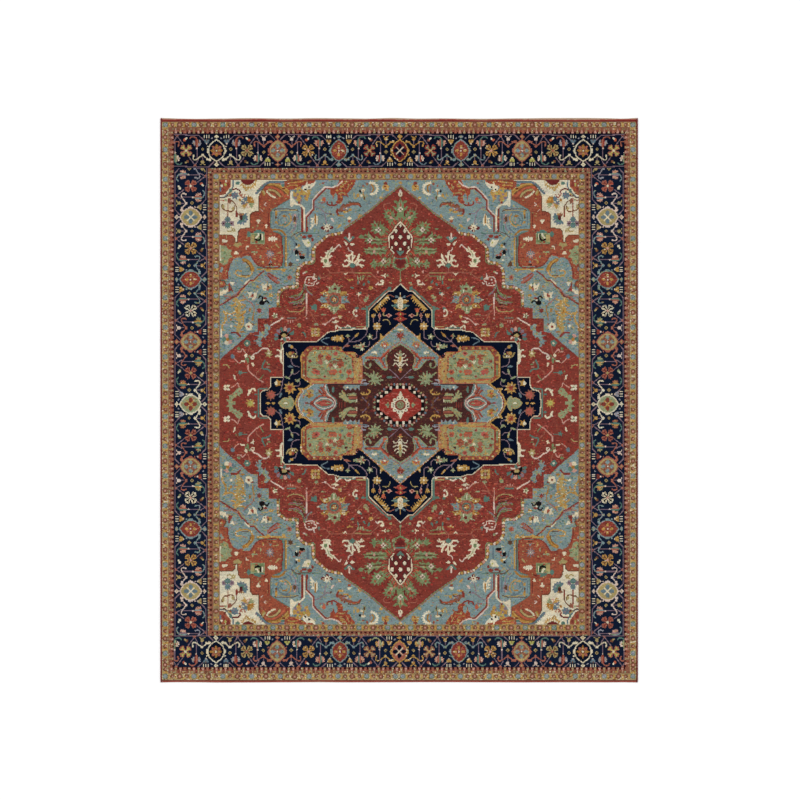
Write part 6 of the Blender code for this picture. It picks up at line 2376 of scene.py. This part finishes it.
def woven_ground(material, colours, low, high):
    """The cloth that the knots are tied on: its two flatwoven ends above, and the knots' backs below."""
    rows, columns = colours.shape[:2]
    across = np.linspace(low[0], high[0], columns + 1)
    near, near_dye = woven_end(across, low[1], NEAR_WEFTS_AND_STEP_SHADE)
    far, far_dye = woven_end(across, high[1], FAR_WEFTS_AND_STEP_SHADE)
    top = np.concatenate((near[::-1], far))
    top_dye = np.concatenate((near_dye[::-1], far_dye))

    blocks = across[::BACK_BLOCK]
    along = np.linspace(low[1], high[1], rows // BACK_BLOCK + 1)[:, None]
    y = np.vstack((
        top[0, ::BACK_BLOCK, 1], np.broadcast_to(along, (len(along), len(blocks))),
        top[-1, ::BACK_BLOCK, 1],
    ))
    back = np.stack((np.broadcast_to(blocks, y.shape), y, np.zeros_like(y)), axis=-1)
    half = BACK_BLOCK // 2
    padded = np.pad(colours, ((half, half), (half, half), (0, 0)), "edge")
    cells = padded.reshape(len(along), BACK_BLOCK, len(blocks), BACK_BLOCK, 3).mean(axis=(1, 3))
    cells = BACK_SHARE * cells + (1 - BACK_SHARE) * linear(DYES["undyed"]) / LIGHT_LEVEL
    back_dye = np.concatenate((top_dye[:1, ::BACK_BLOCK], cells, top_dye[-1:, ::BACK_BLOCK]))

    upper = np.arange(top.shape[0] * top.shape[1]).reshape(top.shape[:2])
    under = upper.size + np.arange(back.shape[0] * back.shape[1]).reshape(back.shape[:2])
    faces = grid_faces(upper).tolist() + grid_faces(under)[:, ::-1].tolist()
    for i in range(len(blocks) - 1):
        first, last = i * BACK_BLOCK, (i + 1) * BACK_BLOCK + 1
        faces.append([*under[0, i : i + 2].tolist(), *upper[0, first:last][::-1].tolist()])
        faces.append([*under[-1, i : i + 2][::-1].tolist(), *upper[-1, first:last].tolist()])
    faces.append([*under[:, 0][::-1].tolist(), *upper[:, 0].tolist()])
    faces.append([*under[:, -1].tolist(), *upper[:, -1][::-1].tolist()])
    ground = new_piece(
        "woven_ground", np.vstack((top.reshape(-1, 3), back.reshape(-1, 3))), faces, material,
    )
    paint(ground, "POINT", np.vstack((top_dye.reshape(-1, 3), back_dye.reshape(-1, 3))))
    return ground


def bound_side(name, node, material, dye):
    """The cord along one long side, with a ridge for each turn of the wool that binds it to the cloth."""
    low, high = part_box(node)
    rings = 2 * round((high[1] - low[1]) / TURN_PITCH) + 1
    turns = 2 * math.pi * (np.arange(CORD_SIDES) + 0.5) / CORD_SIDES
    groove = (np.arange(rings) % 2)[:, None]
    ridge = 1 - TURN_DEPTH * groove + RANDOM.uniform(-TURN_UNEVEN, 0.0, (rings, CORD_SIDES))
    from_end = np.minimum(np.arange(rings), np.arange(rings)[::-1]) * TURN_PITCH / 2 / CORD_TAPER
    ridge *= (CORD_TIP + (1 - CORD_TIP) * from_end.clip(0, 1) ** 0.5)[:, None]
    widest = math.cos(turns[0])
    x = (low[0] + high[0]) / 2 + (high[0] - low[0]) / 2 * ridge * np.cos(turns) / widest
    z = (high[2] - low[2]) / 2 * (1 + ridge * np.sin(turns) / widest)
    y = np.linspace(low[1], high[1], rings)[:, None] + TURN_SLANT * np.cos(turns)
    points = np.stack((x, y.clip(low[1], high[1]), z), axis=-1)
    place = np.arange(rings * CORD_SIDES).reshape(rings, CORD_SIDES)
    around = np.column_stack((place, place[:, :1]))
    caps = [place[0].tolist(), place[-1, ::-1].tolist()]
    cord = new_piece(name, points.reshape(-1, 3), grid_faces(around)[:, ::-1].tolist() + caps, material)
    cord.data.shade_smooth()
    tone = 1 + CORD_PATCH_TONE * soft_noise((rings, 1), (60, 1))
    tone = tone + CORD_TURN_TONE * RANDOM.normal(0, 1, (rings, 1)).clip(-2, 2)
    # Painted shade: the groove rings between turns are darkened in colour
    tone = (tone * (1 - CORD_GROOVE_SHADE * groove)).repeat(CORD_SIDES, axis=1)
    colours = tone.reshape(-1, 1) * linear(dye) / LIGHT_LEVEL
    paint(cord, "POINT", colours)
    return cord


class Nodes:
    """A short way to write a material's nodes."""

    def __init__(self, name):
        self.material = bpy.data.materials.new(name)
        self.material.use_nodes = True
        self.tree = self.material.node_tree
        self.shader = self.tree.nodes["Principled BSDF"]

    def add(self, kind, inputs=(), **settings):
        """A new node. inputs gives numbers, colours or other nodes' outputs by socket name or place."""
        node = self.tree.nodes.new(kind)
        for name, value in settings.items():
            setattr(node, name, value)
        for socket, value in dict(inputs).items():
            self.give(node.inputs[socket], value)
        return node

    def give(self, socket, value):
        """Links another node's output to a socket, or sets its number or colour."""
        if isinstance(value, bpy.types.NodeSocket):
            self.tree.links.new(value, socket)
        else:
            socket.default_value = value

    def math(self, operation, *values):
        """The result of a math node."""
        return self.add("ShaderNodeMath", enumerate(values), operation=operation).outputs[0]

    def place(self):
        """Where each point of a piece is, in metres."""
        return self.add("ShaderNodeTexCoord").outputs["Object"]

    def ribs(self, axis, pitch):
        """Ribs across one axis, X, Y or Z, from -1 to 1."""
        along = self.add("ShaderNodeSeparateXYZ", {0: self.place()}).outputs[axis]
        return self.math("SINE", self.math("MULTIPLY", along, 2 * math.pi / pitch))

    def noise(self, scale, detail, stretch=(1, 1, 1)):
        """Noise from 0 to 1, with about scale patches in a metre."""
        moved = self.add("ShaderNodeMapping", {"Vector": self.place(), "Scale": stretch}).outputs[0]
        inputs = {"Vector": moved, "Scale": scale, "Detail": detail}
        return self.add("ShaderNodeTexNoise", inputs).outputs["Fac"]

    def spread(self, value, low, high):
        """value, from 0.25 to 0.75, taken to low to high."""
        inputs = {"Value": value, "From Min": 0.25, "From Max": 0.75, "To Min": low, "To Max": high}
        return self.add("ShaderNodeMapRange", inputs).outputs["Result"]

    def scaled(self, colour, factor):
        """A colour times a number."""
        node = self.add("ShaderNodeVectorMath", {0: colour, "Scale": factor}, operation="SCALE")
        return node.outputs[0]

    def finish(self, colour, roughness, height, depth):
        """The finished wool material, with bumps of this depth in metres."""
        self.give(self.shader.inputs["Base Color"], colour)
        self.give(self.shader.inputs["Roughness"], roughness)
        bump = self.add("ShaderNodeBump", {"Height": height, "Strength": WOOL_BUMP, "Distance": depth})
        self.give(self.shader.inputs["Normal"], bump.outputs[0])
        self.shader.inputs["Sheen Weight"].default_value = WOOL_SHEEN
        self.shader.inputs["Sheen Roughness"].default_value = WOOL_SHEEN_ROUGHNESS
        self.shader.inputs["Specular IOR Level"].default_value = WOOL_SPECULAR
        return self.material


def pile_material():
    """Cut wool pile: each knot's dye, with the speckle and the soft tufts of its fibres."""
    nodes = Nodes("pile_wool")
    dye = nodes.add("ShaderNodeAttribute", attribute_name="dye").outputs["Color"]
    fibre = nodes.noise(1400, 3)
    tuft = nodes.noise(330, 1)
    tone = nodes.math("MULTIPLY", nodes.spread(fibre, 0.86, 1.14), nodes.spread(tuft, 0.9, 1.1))
    height = nodes.math("ADD", fibre, nodes.math("MULTIPLY", tuft, 1.6))
    return nodes.finish(nodes.scaled(dye, tone), nodes.spread(fibre, 0.85, 1.0), height, 0.0012)


def woven_material():
    """Flat wool cloth: wefts packed over the warps, which show as fine ribs with painted shade."""
    nodes = Nodes("woven_wool")
    dye = nodes.add("ShaderNodeAttribute", attribute_name="dye").outputs["Color"]
    fibre = nodes.noise(1200, 3)
    warps = nodes.ribs("X", WARP_PITCH)
    wefts_and_shade = nodes.math("MULTIPLY", nodes.ribs("Y", WEFT_PITCH), 0.8)
    ribs = nodes.math("ADD", warps, wefts_and_shade)
    height = nodes.math("ADD", fibre, nodes.math("MULTIPLY", ribs, 0.35))
    # Painted shade: the ribs lighten the colour on their crests and darken it in their hollows
    tone = nodes.math("ADD", nodes.spread(fibre, 0.85, 1.12), nodes.math("MULTIPLY", ribs, 0.06))
    return nodes.finish(nodes.scaled(dye, tone), nodes.spread(fibre, 0.85, 1.0), height, 0.0006)


def cord_material():
    """Wool yarn wrapped close about the side cords, with painted shade between its strands."""
    nodes = Nodes("cord_wool")
    dye = nodes.add("ShaderNodeAttribute", attribute_name="dye").outputs["Color"]
    fibre = nodes.noise(900, 3, (1, 3, 1))
    strands = nodes.ribs("Y", STRAND_PITCH)
    height = nodes.math("ADD", fibre, nodes.math("MULTIPLY", strands, 0.3))
    # Painted shade: the strands lighten the colour on their crests and darken it between them
    tone = nodes.math("ADD", nodes.spread(fibre, 0.84, 1.14), nodes.math("MULTIPLY", strands, 0.05))
    return nodes.finish(nodes.scaled(dye, tone), nodes.spread(fibre, 0.85, 1.0), height, 0.0006)


def floor_material():
    """The pale floor, whose tone varies very slightly."""
    nodes = Nodes("pale_floor")
    tone = nodes.spread(nodes.noise(3, 2), 0.985, 1.0)
    colour = nodes.scaled((0.93, 0.93, 0.93), tone)
    nodes.give(nodes.shader.inputs["Base Color"], colour)
    nodes.shader.inputs["Roughness"].default_value = 0.9
    nodes.shader.inputs["Specular IOR Level"].default_value = 0.1
    return nodes.material


def stage():
    """A pale floor, soft even light, and the camera straight above, as the photograph was taken."""
    for name in ("Cube", "Light", "Camera"):
        if name in bpy.data.objects:
            bpy.data.objects.remove(bpy.data.objects[name])
    square = ((-1, -1), (1, -1), (1, 1), (-1, 1))
    corners = [(FLOOR_HALF * x, FLOOR_HALF * y, -FLOOR_DROP) for x, y in square]
    mesh = bpy.data.meshes.new("floor")
    mesh.from_pydata(corners, [], [(0, 1, 2, 3)])
    mesh.materials.append(floor_material())
    floor = bpy.data.objects.new("floor", mesh)

    sun = bpy.data.lights.new("soft_box", "SUN")
    sun.energy = SUN_STRENGTH
    sun.angle = math.radians(SUN_WIDTH)
    soft_box = bpy.data.objects.new("soft_box", sun)
    soft_box.rotation_euler = (math.radians(SUN_TILT[0]), math.radians(SUN_TILT[1]), 0)

    lens = bpy.data.cameras.new("camera")
    lens.lens = LENS_MM
    lens.sensor_width = SENSOR_MM
    lens.clip_end = 200
    camera = bpy.data.objects.new("camera", lens)
    camera.location = (VIEW_MIDDLE[0], VIEW_MIDDLE[1], PILE_HEIGHT + VIEW_WIDTH * LENS_MM / SENSOR_MM)
    for obj in (floor, soft_box, camera):
        bpy.context.scene.collection.objects.link(obj)
    bpy.context.scene.camera = camera

    world = bpy.data.worlds.new("studio")
    world.use_nodes = True
    background = world.node_tree.nodes["Background"]
    background.inputs["Color"].default_value = (1, 1, 1, 1)
    background.inputs["Strength"].default_value = SKY_STRENGTH
    bpy.context.scene.world = world
    bpy.context.scene.view_settings.view_transform = "Standard"


def main():
    """Sets the stage, charts and dyes the pile, and makes every piece of the rug."""
    stage()
    low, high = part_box("knotted_cloth")
    low = (low[0], low[1] + NEAR_SKIRT)
    high = (high[0], high[1] - FAR_SKIRT)
    chart = draw_chart(low, high)
    mix_yarns(chart.yarn)
    colours = dyed(chart.yarn)
    strips = pile(pile_material(), colours, low, high)
    ground = woven_ground(woven_material(), colours, low, high)
    for piece in (ground, *strips):
        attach(piece, "root")
    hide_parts("knotted_cloth")

    wool = cord_material()
    for side, dye in CORD_DYES.items():
        cord = bound_side(f"bound_side_{side}", f"side_cord_{side}", wool, dye)
        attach(cord, "root")
        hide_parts(f"side_cord_{side}")


main()
